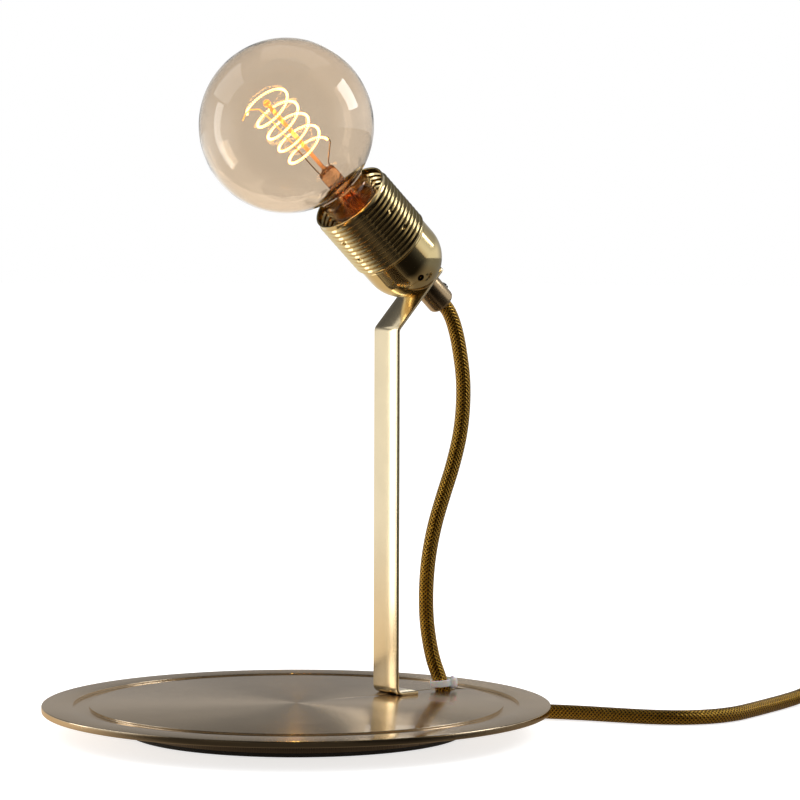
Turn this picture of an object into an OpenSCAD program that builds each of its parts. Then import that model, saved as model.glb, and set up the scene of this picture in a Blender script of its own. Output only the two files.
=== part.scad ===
// Desk lamp with a bare globe bulb. A flat metal strip is bent into a stem, stands on a heavy
// round base and carries a threaded metal lampholder that leans forward over the base.
// Origin: middle of the base's underside. +Z is up, the lamp leans towards -Y, the cord is at +Y.

/* [Base] */
// Diameter of the base plate
base_d = 240; // [225:5:280]
// Thickness of the base plate
plate_t = 3; // [2.6:0.2:5]
// Bevel along the plate's upper and lower edge
rim_bevel = 0.5; // [0.2:0.1:0.8]
// Plain band between the plate's rim and the round channel
channel_inset = 14.8; // [12:0.2:16]
// Width of the channel
channel_w = 7.6; // [5:0.2:9]
// Depth of the channel
channel_depth = 1.2; // [0.6:0.1:1.6]
// Diameter of the steel weight under the plate
weight_d = 160; // [152:2:164]
// Thickness of the steel weight
weight_t = 8.5; // [7.5:0.5:14]
// Thickness of the felt pad
pad_t = 2; // [1:0.5:4]
// How far the felt stays inside the weight's edge
pad_inset = 0.5; // [0.2:0.1:3]

/* [Base screws] */
// Thread diameter of the screws that hold the weight
weight_screw_d = 4; // [3:0.5:5]
// How many screws hold the weight
weight_screw_count = 3; // [3:1:6]
// Radius of the circle that they stand on
weight_screw_r = 30; // [24:1:36]
// Thread diameter of the two screws that hold the stem
stem_screw_d = 3; // [2.5:0.5:3.5]
// Distance between the two stem screws
stem_screw_gap = 10; // [8:0.5:11]

/* [Stem] */
// Width of the flat strip
strip_w = 19; // [17:0.5:26]
// Thickness of the flat strip
strip_t = 1.5; // [1.2:0.1:2.5]
// Front face of the stem, behind the base's middle
strip_y = 51.8; // [44:0.2:56]
// Length of the foot that lies on the plate
foot_len = 13; // [12:0.5:18]
// Height of the upper bend above the floor
bend_z = 189.4; // [160:0.2:230]
// Slope of the flange that carries the lampholder, above level
flange_angle = 47.5; // [40:0.5:60]
// Length of the flange from the bend to its tip
flange_len = 40; // [37:0.5:50]
// Outer radius of both bends
bend_r = 4; // [2.6:0.1:6]
// Corner radius of the strip's ends
strip_corner = 2.5; // [0.5:0.5:4]

/* [Lampholder] */
// Distance of the lampholder's axis from the bend
socket_offset = 31.4; // [28:0.2:32]
// Outer radius of the dome-shaped cup
cup_r = 19.2; // [18.8:0.1:22]
// Height of the dome's centre above the flange
dome_h = 16; // [15:0.2:18]
// Height of the cup's mouth above the flange
cup_h = 24.7; // [24.5:0.1:30]
// Wall of the cup
cup_wall = 0.8; // [0.6:0.1:1]
// Length of the threaded skirt
skirt_len = 33.5; // [31:0.5:40]
// Wall of the skirt
skirt_wall = 0.6; // [0.4:0.1:0.8]
// Number of rolled ridges round the skirt
ridge_count = 12; // [6:1:13]
// Distance from one ridge to the next
ridge_pitch = 2.55; // [2.2:0.05:2.6]
// Height of a ridge
ridge_h = 0.8; // [0.4:0.1:1]
// Diameter of the small hole in the cup's side
side_hole_d = 3.4; // [2.5:0.1:4]
// Diameter of the hollow threaded nipple
nipple_d = 10; // [9.8:0.1:10.5]
// Diameter of the bore through the nipple and the cord grip
nipple_bore = 8; // [7.9:0.1:8.3]
// Diameter of the cord grip
grip_d = 13.6; // [13.4:0.2:17]
// Length of the cord grip
grip_len = 15.5; // [12:0.5:18]
// Thread diameter of the grip's screw
grip_screw_d = 4; // [3:0.5:4]
// Thickness of the ceramic insert
ceramic_t = 11; // [10:0.5:12]

/* [Bulb] */
// Diameter of the glass globe
globe_d = 81.8; // [70:0.2:96]
// Straight part of the glass neck, from the cap to the curve of the globe
neck_len = 8.47; // [6:0.01:14]
// Wall of the glass
glass_t = 0.8; // [0.5:0.1:1.2]
// Outer radius of the glass neck
neck_r = 13; // [12.6:0.1:13.6]
// Crest radius of the cap's screw shell
cap_crest_r = 12.9; // [12.6:0.1:13]
// Pitch of the cap's thread
cap_pitch = 3.63; // [3.5:0.01:3.7]
// Radius of the filament's spiral
filament_r = 10.2; // [7:0.2:12]
// Distance from one filament turn to the next
filament_pitch = 8.2; // [7:0.1:9.4]
// Thickness of the filament
filament_d = 0.7; // [0.5:0.1:1]

/* [Cord] */
// Diameter of the fabric-covered cord
cord_d = 7.2; // [6.4:0.1:7.4]
// Room round the cord in the base's hole
cord_hole_room = 1.3; // [0.8:0.1:1.6]
// Turns in each of the put-away coil's four layers
layer_turns = 1.375; // [1.375:1:2.375]
// Radius of the coil's outermost turn
coil_r = 44; // [42:1:60]
// Width of the tie round the coil
coil_tie_w = 9; // [6:1:14]

/* [Cord switch] */
// Length of the switch on the cord
switch_l = 66; // [62:1:80]
// Width of the switch
switch_w = 28; // [26:1:34]
// Height of the switch
switch_h = 20; // [19:0.5:26]
// Length of the rocker
rocker_l = 19; // [15:0.5:20]
// Width of the rocker
rocker_w = 11; // [9:0.5:13]
// Tilt of the rocker to either side
rocker_tilt = 7; // [4:0.5:8]

/* [Plug] */
// Diameter of the plug
plug_d = 37; // [34:0.5:42]
// Length of the plug's body
plug_l = 34; // [30:1:44]
// Diameter of a plug pin
pin_d = 4.8; // [4:0.1:5]
// Distance between the two pins
pin_gap = 19; // [17:0.5:20]
// Length of a plug pin
pin_l = 19; // [17:0.5:22]

/* [Hidden] */
$fn = 96;
eps = 0.01;
gap = 0.3;
fit = 0.1;

base_r = base_d / 2;
base_h = pad_t + weight_t + plate_t;
plate_z = pad_t + weight_t;
channel_out = base_r - channel_inset;
channel_in = channel_out - channel_w;

strip_r_in = bend_r - strip_t;
upright_z = base_h + bend_r;
lean = 90 - flange_angle;
stem_screw_y = strip_y + bend_r + (foot_len - bend_r) / 2;
stem_thread = strip_t - 0.5;
stem_head_d = 1.8 * stem_screw_d;
stem_head_h = 0.6 * stem_screw_d;
weight_head_d = 2 * weight_screw_d;

// Heights inside the lampholder, above the flange
ceramic_top = cup_h - 0.2;
ceramic_bottom = ceramic_top - ceramic_t;
liner_z = ceramic_top;
contact_z = ceramic_top + 2.8;
cap_z = contact_z + 5.5;
cap_len = 21.5;
cap_top = cap_z + cap_len;
cap_thread_z = cap_z + 3;
skirt_z = cup_h + fit;
skirt_top = skirt_z + skirt_len;
skirt_r = cup_r + 0.1;
liner_crest_r = cap_crest_r + gap;
thread_h = 0.8;
liner_wall = 0.4;
liner_len = 24;
nipple_low = -strip_t - 6;
nipple_top = cup_wall + 5.6;
nut_t = 3;
grip_screw_z = (nipple_low - strip_t - grip_len) / 2;

globe_r = globe_d / 2;
neck_fillet = 9;
fillet_x = neck_r + neck_fillet;
fillet_z = cap_top + neck_len;
globe_h = fillet_z + sqrt(pow(globe_r + neck_fillet, 2) - pow(fillet_x, 2));
filament_turns = 4.5;
filament_low = globe_h - filament_pitch * filament_turns / 2 - 1;

// Cord route from the grip, through the base, over the table and to the switch.
// The first and last points come from the grip and the switch.
riser_points = [
    [0, 94.2, 186.5], [0, 96.3, 178], [0, 98.5, 164], [0, 98.5, 150], [0, 96.5, 136],
    [0, 92, 121], [0, 86.5, 107], [0, 81.5, 93], [0, 78, 78], [0, 76.5, 62], [0, 77, 47],
    [0.4, 78.8, 35], [1.2, 80.5, 27], [2.3, 82.3, 21], [3.8, 84, 14.1], [5.2, 85.6, 9.9],
    [7.4, 88.1, 6.6], [10.1, 91.2, 4.5], [13.2, 94.7, 3.7], [20, 102.5, 3.7]];
lead_points = [
    [28, 112, 3.7], [38, 122, 3.7], [52, 132.5, 3.7], [67, 141.5, 3.7], [81, 151, 3.7],
    [91.5, 162.5, 3.7], [96.5, 176, 3.7], [96, 191, 3.7], [91, 207, 3.7], [85, 223, 3.7],
    [79, 239, 3.8], [74, 254, 4.5], [70, 268, 6.5]];
hole_from = [3.8, 84, 14.1];
hole_to = [5.2, 85.6, 9.9];

switch_yaw = 105;
switch_at = [61, 300];
switch_floor = 1.6;
switch_mouth_z = 7;
pivot_z = switch_h - 3;
rocker_gap = 0.5;

coil_side = [cos(switch_yaw - 90), sin(switch_yaw - 90)];
switch_dir = [cos(switch_yaw), sin(switch_yaw)];
coil_lift = 0.7;
coil_step = cord_d + 0.6;
coil_z = cord_d / 2 + coil_lift;
link_len = 34;
coil_start = switch_at + switch_dir * (switch_l + link_len);
coil_c = coil_start + coil_side * coil_r;
coil_turns = 4 * layer_turns;
coil_rings = 24;
coil_angle0 = switch_yaw + 90;
coil_angle1 = coil_angle0 - 360 * coil_turns;
coil_end = [coil_c[0] + coil_r * cos(coil_angle1), coil_c[1] + coil_r * sin(coil_angle1)];
coil_end_z = coil_z + 3 * coil_step;
plug_dir = [sin(coil_angle1), -cos(coil_angle1)];
plug_yaw = atan2(plug_dir[1], plug_dir[0]);
tail_len = 52;
sleeve_len = 24;
plug_z = plug_d / 2;
tail_end = coil_end + plug_dir * tail_len;

// Small fixed sizes of the hidden pieces
cup_step = 1;
side_hole_turn = -25;
side_hole_drop = 5.6;
ceramic_r = cup_r - cup_step - cup_wall - 2 * fit;
block = [5, 9, 7];
block_shift = 2.4;
terminal_x = 9.5;
terminal_y = 2;
liner_floor_r = 8;
tongue_h = 2.5;
nut_r = 8.1;
tag_t = 0.6;
tag_reach = 10;
grip_low = -strip_t - grip_len;
grip_round = 2;
glass_seat = 6;
glass_seat_r = cap_crest_r - 1.5;
cap_wall = 0.35;
cap_mouth_r = 9.6;
button_t = 1.7;
insulator_lip = 1.2;
stem_foot_r = glass_seat_r - glass_t - fit;
pinch = [9, 4.4, 14];
pinch_z = cap_top + 9;
pinch_side = 3.2;
rod_r = 1;
rod_top = globe_h + 15;
wire_d = 0.6;
filament_turn0 = 64;
coil_tie_turn = 105;
tie_t = 0.4;
tie_at = [3.3, 83.4, 16.6];
tie_lean = 17;
tie_heading = 49;
tie_r = cord_d / 2 + 0.5;
tie_band = 2.6;
tie_wall = 1.1;
tie_head = [4.2, 6, 6.2];
switch_seat = 8;
cheek_t = 2.4;
pin_len = rocker_w + 2 * rocker_gap + 2 * cheek_t;
rocker_top = 5;
opening_l = 2 * (rocker_l / 2 * cos(rocker_tilt) + rocker_top * sin(rocker_tilt) + rocker_gap);
plug_face = sleeve_len + plug_l;
pin_seat = 9;
clip_t = 1;
clip_len = 16;

function unit(v) = v / norm(v);
function tangent(p, i) = unit(p[min(i + 1, len(p) - 1)] - p[max(i - 1, 0)]);
function carried(n, t) = unit(n - (n * t) * t);
function normals(p, n, i = 0) = i == len(p) ? [] :
    let (here = carried(n, tangent(p, i))) concat([here], normals(p, here, i + 1));

// A tube through the points p, with its first and last ring square to the ends
module tube(p, d, sides, start_normal) {
    n = normals(p, start_normal);
    rings = [for (i = [0:len(p) - 1], k = [0:sides - 1])
        let (t = tangent(p, i), b = cross(t, n[i]), a = 360 * k / sides)
        p[i] + d / 2 * (cos(a) * n[i] + sin(a) * b)];
    side = [for (i = [0:len(p) - 2], k = [0:sides - 1])
        let (j = (k + 1) % sides, a = i * sides, b = (i + 1) * sides)
        each [[a + k, b + j, a + j], [a + k, b + k, b + j]]];
    low = [for (k = [1:sides - 2]) [0, k, k + 1]];
    last = (len(p) - 1) * sides;
    high = [for (k = [1:sides - 2]) [last, last + k + 1, last + k]];
    polyhedron(rings, concat(side, low, high), convexity = 10);
}

// Points on an arc, used for the bends of the strip
function arc(centre, r, start, turn) = [for (k = [0:8]) centre + r * [cos(start + k * turn / 8), sin(start + k * turn / 8)]];

module on_head() {
    translate([0, strip_y + socket_offset * cos(flange_angle), bend_z + socket_offset * sin(flange_angle)])
        rotate([flange_angle, 0, 0]) children();
}

module on_switch() {
    translate([switch_at[0], switch_at[1], 0]) rotate([0, 0, switch_yaw]) children();
}

module on_plug() {
    translate([tail_end[0], tail_end[1], plug_z]) rotate([0, 0, plug_yaw]) rotate([0, 90, 0]) children();
}

module weight_screw_places() {
    for (k = [0:weight_screw_count - 1])
        rotate([0, 0, 30 + k * 360 / weight_screw_count]) translate([weight_screw_r, 0, 0]) children();
}

module stem_screw_places() {
    for (side = [-1, 1]) translate([side * stem_screw_gap / 2, stem_screw_y, 0]) children();
}

module base_plate() color([0.55, 0.51, 0.44]) difference() {
    rotate_extrude() polygon([[0, plate_z], [base_r - rim_bevel, plate_z], [base_r, plate_z + rim_bevel],
        [base_r, base_h - rim_bevel], [base_r - rim_bevel, base_h], [channel_out, base_h],
        [channel_out, base_h - channel_depth], [channel_in, base_h - channel_depth], [channel_in, base_h],
        [0, base_h]]);
    along = unit(hole_to - hole_from);
    translate(hole_from - 4 * along)
        rotate([0, acos(along[2]), atan2(along[1], along[0])])
            cylinder(d = cord_d + 2 * cord_hole_room, h = 24);
    stem_screw_places() translate([0, 0, plate_z - 1]) cylinder(d = stem_screw_d + 2 * fit, h = plate_t + 2);
    weight_screw_places() translate([0, 0, plate_z - 1]) cylinder(d = weight_screw_d + fit, h = plate_t - 0.4 + 1);
}

module base_weight() color([0.3, 0.28, 0.25]) difference() {
    translate([0, 0, pad_t]) cylinder(d = weight_d, h = weight_t);
    weight_screw_places() {
        translate([0, 0, pad_t - 1]) cylinder(d = weight_screw_d + 2 * fit, h = weight_t + 2);
        translate([0, 0, pad_t - eps]) cylinder(d1 = weight_head_d + 2 * fit, d2 = weight_screw_d + 2 * fit,
            h = weight_screw_d / 2 + fit);
    }
    stem_screw_places() translate([0, 0, plate_z - stem_head_h - 0.7]) cylinder(d = stem_head_d + 1, h = weight_t);
}

module base_pad() color([0.14, 0.13, 0.12]) cylinder(d = weight_d - 2 * pad_inset, h = pad_t);

module weight_screws() color([0.75, 0.74, 0.7]) weight_screw_places() {
    translate([0, 0, pad_t]) cylinder(d1 = weight_head_d, d2 = weight_screw_d - fit, h = weight_screw_d / 2);
    translate([0, 0, pad_t + 1]) cylinder(d = weight_screw_d - fit, h = weight_t + plate_t - 2);
}

module stem_screws() color([0.75, 0.74, 0.7]) stem_screw_places() {
    translate([0, 0, plate_z - stem_head_h]) cylinder(d = stem_head_d, h = stem_head_h);
    translate([0, 0, plate_z - 1]) cylinder(d = stem_screw_d - fit, h = 1 + plate_t + stem_thread);
}

// Foot, lower bend, upright, upper bend and flange, seen from the side
module strip_side_2d() {
    low = [strip_y + bend_r, upright_z];
    high = [strip_y + bend_r, bend_z - bend_r * tan(lean / 2)];
    along = [cos(flange_angle), sin(flange_angle)];
    tip = [strip_y, bend_z] + flange_len * along;
    polygon(concat([[strip_y + foot_len, base_h + strip_t], [strip_y + foot_len, base_h]],
        arc(low, bend_r, 270, -90), arc(high, bend_r, 180, -lean),
        [tip, tip + strip_t * [along[1], -along[0]]],
        arc(high, strip_r_in, 180 - lean, lean), arc(low, strip_r_in, 180, 90)));
}

// What a rounded corner takes off; its first and last edge run on past the strip
module corner_2d() {
    p = arc([0, 0], strip_corner, 0, 90);
    first = p[0] + (p[0] - p[1]) / 2;
    last = p[8] + (p[8] - p[7]) / 2;
    far = strip_corner + 1;
    polygon(concat([[far, first[1]], first], [for (k = [1:7]) p[k]], [last, [last[0], far], [far, far]]));
}

module stem_strip() color([0.86, 0.79, 0.6]) difference() {
    rotate([90, 0, 90]) translate([0, 0, -strip_w / 2]) linear_extrude(strip_w) strip_side_2d();
    stem_screw_places() translate([0, 0, base_h - 1]) cylinder(d = stem_screw_d, h = 1.1 + stem_thread);
    on_head() {
        translate([0, 0, -strip_t - 1]) cylinder(d = nipple_d + 2 * fit, h = strip_t + 2);
        for (side = [0, 1]) mirror([side, 0, 0])
            translate([strip_w / 2 - strip_corner, flange_len - socket_offset - strip_corner, -strip_t - 1])
                linear_extrude(strip_t + 2) corner_2d();
    }
}

// Half outline of the cup's dome and wall, moved in by the inset; the mouth steps in above step_z
module cup_2d(inset, step_z, top) {
    intersection() {
        union() {
            translate([0, dome_h]) circle(r = cup_r - inset);
            translate([0, dome_h]) square([cup_r - inset, top - dome_h]);
        }
        union() {
            translate([0, inset]) square([cup_r, step_z - inset]);
            translate([0, inset]) square([cup_r - cup_step - inset, top - inset]);
        }
    }
}

module lampholder_cup() color([0.8, 0.7, 0.42]) on_head() difference() {
    rotate_extrude() difference() {
        cup_2d(0, cup_h, cup_h + 4);
        cup_2d(cup_wall, cup_h - 1, cup_h + 5);
    }
    translate([0, 0, -1]) cylinder(d = nipple_d + 2 * fit, h = cup_wall + 2);
    rotate([0, 0, side_hole_turn]) translate([0, 0, dome_h - side_hole_drop]) rotate([0, 90, 0])
        cylinder(d = side_hole_d, h = cup_r + 2);
}

function ridge(i, steps) = ridge_h / 2 * (1 - cos(360 * i / steps));

module lampholder_skirt() color([0.8, 0.7, 0.42]) on_head() {
    steps = 6;
    count = ridge_count * steps;
    outer = [for (i = [0:count]) [skirt_r + ridge(i, steps), skirt_z + 0.6 + ridge_pitch * i / steps]];
    inner = [for (i = [count:-1:0]) outer[i] - [skirt_wall, 0]];
    rotate_extrude() polygon(concat([[skirt_r, skirt_z]], outer, [[skirt_r, skirt_top], [skirt_r - skirt_wall, skirt_top]],
        inner, [[skirt_r - skirt_wall, skirt_z]]));
}

module ceramic_insert() color([0.93, 0.92, 0.88]) on_head() difference() {
    translate([0, 0, ceramic_bottom]) cylinder(r = ceramic_r, h = ceramic_t);
    for (side = [-1, 1]) translate([side * terminal_x, terminal_y, ceramic_bottom])
        translate([-block[0] / 2 - fit, -block[1] / 2 - fit, -1])
            cube([block[0] + 2 * fit, block[1] + 2 * fit, block[2] + 1]);
}

module screw_liner() color([0.82, 0.68, 0.38]) on_head() {
    low = cap_thread_z - floor((cap_thread_z - liner_z - liner_wall) / cap_pitch) * cap_pitch;
    turns = floor((liner_z + liner_len - low) / cap_pitch);
    steps = 6;
    inner = [for (i = [0:turns * steps])
        [liner_crest_r + thread_h / 2 * (1 - cos(360 * i / steps)), low + cap_pitch * i / steps]];
    outer = [for (i = [turns * steps:-1:0]) inner[i] + [liner_wall, 0]];
    rotate_extrude() polygon(concat(
        [[liner_floor_r, liner_z], [liner_floor_r, liner_z + liner_wall], [liner_crest_r, liner_z + liner_wall]],
        inner, [[liner_crest_r, liner_z + liner_len], [liner_crest_r + liner_wall, liner_z + liner_len]],
        outer, [[liner_crest_r + liner_wall, liner_z]]));
}

module centre_contact() color([0.85, 0.72, 0.4]) on_head() translate([0, 2.5, ceramic_top]) rotate([90, 0, 0])
    linear_extrude(5) polygon([[-7, 0], [-2.4, 0], [0, tongue_h - 0.5], [3, tongue_h - 0.4], [3, tongue_h],
        [-0.3, tongue_h - 0.1], [-2.6, 0.5], [-7, 0.5]]);

module terminal_places() {
    for (side = [-1, 1]) translate([side * terminal_x, terminal_y, ceramic_bottom]) children();
}

module terminal_blocks() color([0.85, 0.72, 0.4]) on_head() terminal_places() difference() {
    translate([-block[0] / 2, -block[1] / 2, 0]) cube(block);
    translate([0, -block_shift, -1]) cylinder(d = 3, h = block[2]);
}

module terminal_screws() color([0.8, 0.78, 0.74]) on_head() terminal_places() translate([0, -block_shift, 0]) {
    translate([0, 0, -1.8]) cylinder(d = 4.6, h = 1.8);
    translate([0, 0, -1]) cylinder(d = 3 - fit, h = 6);
}

module threaded_nipple() color([0.8, 0.7, 0.42]) on_head() difference() {
    translate([0, 0, nipple_low]) cylinder(d = nipple_d, h = nipple_top - nipple_low);
    translate([0, 0, nipple_low - 1]) cylinder(d = nipple_bore, h = nipple_top - nipple_low + 2);
}

module nipple_nut() color([0.75, 0.74, 0.7]) on_head() difference() {
    translate([0, 0, cup_wall + tag_t]) cylinder(r = nut_r, h = nut_t, $fn = 6);
    translate([0, 0, cup_wall]) cylinder(d = nipple_d + fit, h = nut_t + 2);
}

module earth_tag() color([0.85, 0.72, 0.4]) on_head() translate([0, 0, cup_wall]) difference() {
    union() {
        cylinder(r = nut_r - 0.6, h = tag_t);
        translate([-2, -tag_reach, 0]) cube([4, tag_reach, tag_t]);
    }
    translate([0, 0, -1]) cylinder(d = nipple_d + fit, h = tag_t + 2);
}

module cord_grip() color([0.72, 0.68, 0.58]) on_head() difference() {
    rotate_extrude() union() {
        translate([0, grip_low + grip_round]) square([grip_d / 2, grip_len - grip_round]);
        translate([0, grip_low]) square([grip_d / 2 - grip_round, grip_len]);
        translate([grip_d / 2 - grip_round, grip_low + grip_round]) circle(r = grip_round);
    }
    translate([0, 0, grip_low - 1]) cylinder(d = nipple_bore, h = grip_len + 2);
    translate([0, 0, nipple_low - gap]) cylinder(d = nipple_d + 2 * fit, h = 20);
    translate([0, 0, grip_screw_z]) rotate([-90, 0, 0]) cylinder(d = grip_screw_d + fit, h = grip_d);
}

module grip_screw() color([0.9, 0.89, 0.85]) on_head() translate([0, cord_d / 2 + fit, grip_screw_z])
    rotate([-90, 0, 0]) difference() {
        cylinder(d = grip_screw_d, h = (grip_d - cord_d) / 2 + 0.6);
        translate([-grip_screw_d, -0.3, (grip_d - cord_d) / 2]) cube([2 * grip_screw_d, 0.6, 2]);
    }

module cord_end() color([0.78, 0.6, 0.22]) on_head()
    translate([0, 0, grip_low]) cylinder(d = cord_d, h = nipple_top - grip_low);

module core_wires() color([0.45, 0.3, 0.2]) on_head() {
    for (side = [-1, 1]) tube([[side * 1.8, 0.8, nipple_top], [side * 1.8, 0.8, nipple_top + 0.6],
        [side * 2.2, 1.2, nipple_top + 2],
        [side * 5, 3, nipple_top + 3.8], [side * (terminal_x - 1), terminal_y + block_shift - 0.3, ceramic_bottom - 2.2],
        [side * terminal_x, terminal_y + block_shift, ceramic_bottom - 1.2],
        [side * terminal_x, terminal_y + block_shift, ceramic_bottom]], 1.6, 6, [0, 1, 0]);
    tag_top = cup_wall + tag_t;
    tube([[0, -2, nipple_top], [0, -2, nipple_top + 0.6], [0, -2.4, nipple_top + 1.8], [0, -4.4, nipple_top + 2.8],
        [0, -7.4, nipple_top + 1.6],
        [0, -tag_reach + 1.2, tag_top + 3.4], [0, -tag_reach + 1.2, tag_top]], 1.6, 6, [1, 0, 0]);
}

// Half outline of the glass, moved in by the inset
module glass_2d(inset) {
    intersection() {
        union() {
            translate([0, globe_h]) circle(r = globe_r - inset);
            translate([0, cap_top + inset]) square([neck_r - inset, globe_h - cap_top]);
            translate([0, cap_top - glass_seat - inset]) square([glass_seat_r - inset, glass_seat + 3 * glass_t]);
            difference() {
                polygon([[0, fillet_z], [fillet_x, fillet_z], [0, globe_h]]);
                translate([fillet_x, fillet_z]) circle(r = neck_fillet + inset);
            }
        }
        square([globe_r, globe_h + globe_r]);
    }
}

module bulb_globe() color([0.9, 0.82, 0.7, 0.35]) on_head() rotate_extrude() difference() {
    glass_2d(0);
    glass_2d(glass_t);
}

module bulb_cap() color([0.84, 0.76, 0.5]) on_head() {
    steps = 6;
    turns = 4;
    valley = cap_crest_r - thread_h;
    outer = [for (i = [0:turns * steps])
        [valley + thread_h / 2 * (1 - cos(360 * i / steps)), cap_thread_z + cap_pitch * i / steps]];
    inner = [for (i = [turns * steps:-1:0]) outer[i] - [cap_wall, 0]];
    rotate_extrude() polygon(concat([[cap_mouth_r - cap_wall, cap_z], [cap_mouth_r, cap_z], [valley, cap_z + 2]],
        outer, [[valley + 0.4, cap_top], [valley + 0.4 - cap_wall, cap_top]], inner,
        [[valley - cap_wall, cap_z + 2.2]]));
}

module cap_insulator() color([0.1, 0.1, 0.11]) on_head() rotate_extrude()
    polygon([[0, contact_z + button_t], [5.4, contact_z + button_t], [cap_mouth_r - cap_wall - fit, cap_z],
        [cap_mouth_r - cap_wall - fit, cap_z + insulator_lip], [0, cap_z + insulator_lip]]);

module cap_contact() color([0.8, 0.79, 0.76]) on_head() rotate_extrude()
    polygon([[0, contact_z], [3, contact_z], [4.8, contact_z + 0.8], [4.8, contact_z + button_t], [0, contact_z + button_t]]);

module bulb_stem() color([0.9, 0.84, 0.74, 0.5]) on_head() {
    rotate_extrude() polygon([[stem_foot_r - 1, cap_top - glass_seat], [stem_foot_r, cap_top - glass_seat],
        [stem_foot_r, cap_top - glass_seat + 1], [4.2, pinch_z], [2, pinch_z + 4], [0, pinch_z + 4], [0, pinch_z],
        [3.2, pinch_z]]);
    rotate([0, 0, filament_turn0]) translate([-pinch[0] / 2, -pinch[1] / 2, pinch_z + 1])
        cube([pinch[0], pinch[1], pinch[2] - 1]);
    translate([0, 0, pinch_z + pinch[2] - 1]) cylinder(r = rod_r, h = rod_top - pinch_z - pinch[2] + 1);
    translate([0, 0, rod_top]) sphere(r = 1.8, $fn = 24);
}

function helix(r, low, pitch, turns, rings, turn0) = [for (i = [0:rings * turns])
    [r * cos(turn0 + 360 * i / rings), r * sin(turn0 + 360 * i / rings), low + pitch * i / rings]];
filament_points = helix(filament_r, filament_low, filament_pitch, filament_turns, 24, filament_turn0);

// Least distance between points of a tube that lie at least skip points apart, less its thickness
function self_gap(p, d, skip) = min([for (i = [0:len(p) - 1]) for (j = [i + skip:1:len(p) - 1]) norm(p[i] - p[j])]) - d;

module filament() color([1, 0.85, 0.45]) on_head() tube(filament_points, filament_d, 6, [0, 0, 1]);

module bulb_wires() color([0.6, 0.5, 0.42]) on_head() {
    first = filament_points[0];
    last = filament_points[len(filament_points) - 1];
    out0 = [first[0], first[1], 0] / filament_r;
    out1 = [last[0], last[1], 0] / filament_r;
    pinch_top = pinch_z + pinch[2];
    beside = (filament_d + wire_d) / 2 + fit;
    tube([pinch_side * out0 + [0, 0, pinch_top], (pinch_side + 0.3) * out0 + [0, 0, pinch_top + 2],
        (filament_r + beside - 0.4) * out0 + [0, 0, first[2] - 1.6],
        (filament_r + beside) * out0 + [0, 0, first[2] - 0.6],
        (filament_r + beside) * out0 + [0, 0, first[2] + 1]], wire_d, 6, [0, 0, 1]);
    tube([pinch_side * out1 + [0, 0, pinch_top], (pinch_side + 0.3) * out1 + [0, 0, pinch_top + 3],
        3.6 * out1 + [0, 0, rod_top - 8], 4.4 * out1 + [0, 0, last[2] - 2.2],
        (filament_r - 2.5) * out1 + [0, 0, last[2] + beside], (filament_r + 0.5) * out1 + [0, 0, last[2] + beside],
        (filament_r + 3.6) * out1 + [0, 0, last[2] - 1]], wire_d, 6, [0, 0, 1]);
    for (side = [-1, 1]) rotate([0, 0, filament_turn0]) translate([side * 2, 0, cap_z + insulator_lip])
        cylinder(d = wire_d, h = pinch_z - cap_z - insulator_lip, $fn = 16);
}

grip_mouth = head_point([0, 0, grip_low]);
grip_out = head_dir([0, 0, -1]);
function head_dir(v) = [v[0], v[1] * cos(flange_angle) - v[2] * sin(flange_angle),
    v[1] * sin(flange_angle) + v[2] * cos(flange_angle)];
function head_point(p) = head_dir(p) + [0, strip_y + socket_offset * cos(flange_angle),
    bend_z + socket_offset * sin(flange_angle)];
function switch_point(p) = [switch_at[0] + p[0] * switch_dir[0] - p[1] * switch_dir[1],
    switch_at[1] + p[0] * switch_dir[1] + p[1] * switch_dir[0], p[2]];
function flat(p, z) = [p[0], p[1], z];

riser_route = concat([grip_mouth, grip_mouth + 0.6 * cord_d * grip_out,
    grip_mouth + cord_d * [0, 0.865, -1.095]], riser_points, lead_points,
    [switch_point([-cord_d - 1, 0, switch_mouth_z]), switch_point([-1, 0, switch_mouth_z]),
        switch_point([switch_seat, 0, switch_mouth_z])]);
module cord_riser() color([0.78, 0.6, 0.22]) tube(riser_route, cord_d, 10, [1, 0, 0]);

module cord_link() color([0.78, 0.6, 0.22]) {
    from = switch_l - switch_seat;
    tube([switch_point([from, 0, switch_mouth_z]), switch_point([switch_l + 1, 0, switch_mouth_z]),
        switch_point([switch_l + 9, 0, switch_mouth_z - 0.6]), switch_point([switch_l + 18, 0, coil_z + 0.6]),
        switch_point([switch_l + link_len - cord_d - 2, 0, coil_z]),
        switch_point([switch_l + link_len - cord_d, 0, coil_z])], cord_d, 10, [0, 0, 1]);
}

function smooth(x) = x <= 0 ? 0 : x >= 1 ? 1 : (1 - cos(180 * x)) / 2;
function into_layer(turn) = let (phase = turn % (2 * layer_turns))
    phase < layer_turns ? phase : 2 * layer_turns - phase;
function coil_point(turn) = let (
    r = coil_r - coil_step * into_layer(turn),
    a = coil_angle0 - 360 * turn,
    up = smooth((turn - layer_turns) * 2 + 0.5) + smooth((turn - 2 * layer_turns) * 2 + 0.5)
        + smooth((turn - 3 * layer_turns) * 2 + 0.5))
    [coil_c[0] + r * cos(a), coil_c[1] + r * sin(a), coil_z + coil_step * up];
coil_points = [for (i = [0:coil_turns * coil_rings]) coil_point(i / coil_rings)];
coil_route = concat([flat(coil_start - cord_d * switch_dir, coil_z)], coil_points,
    [flat(coil_end + cord_d * plug_dir, coil_end_z)]);
module cord_coil() color([0.78, 0.6, 0.22]) tube(coil_route, cord_d, 6, [0, 0, 1]);

coil_gap = self_gap(coil_points, cord_d, 12);
filament_gap = self_gap(filament_points, filament_d, 12);
echo(least_gap_of_cord_coil = coil_gap, least_gap_of_filament = filament_gap);

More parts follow.
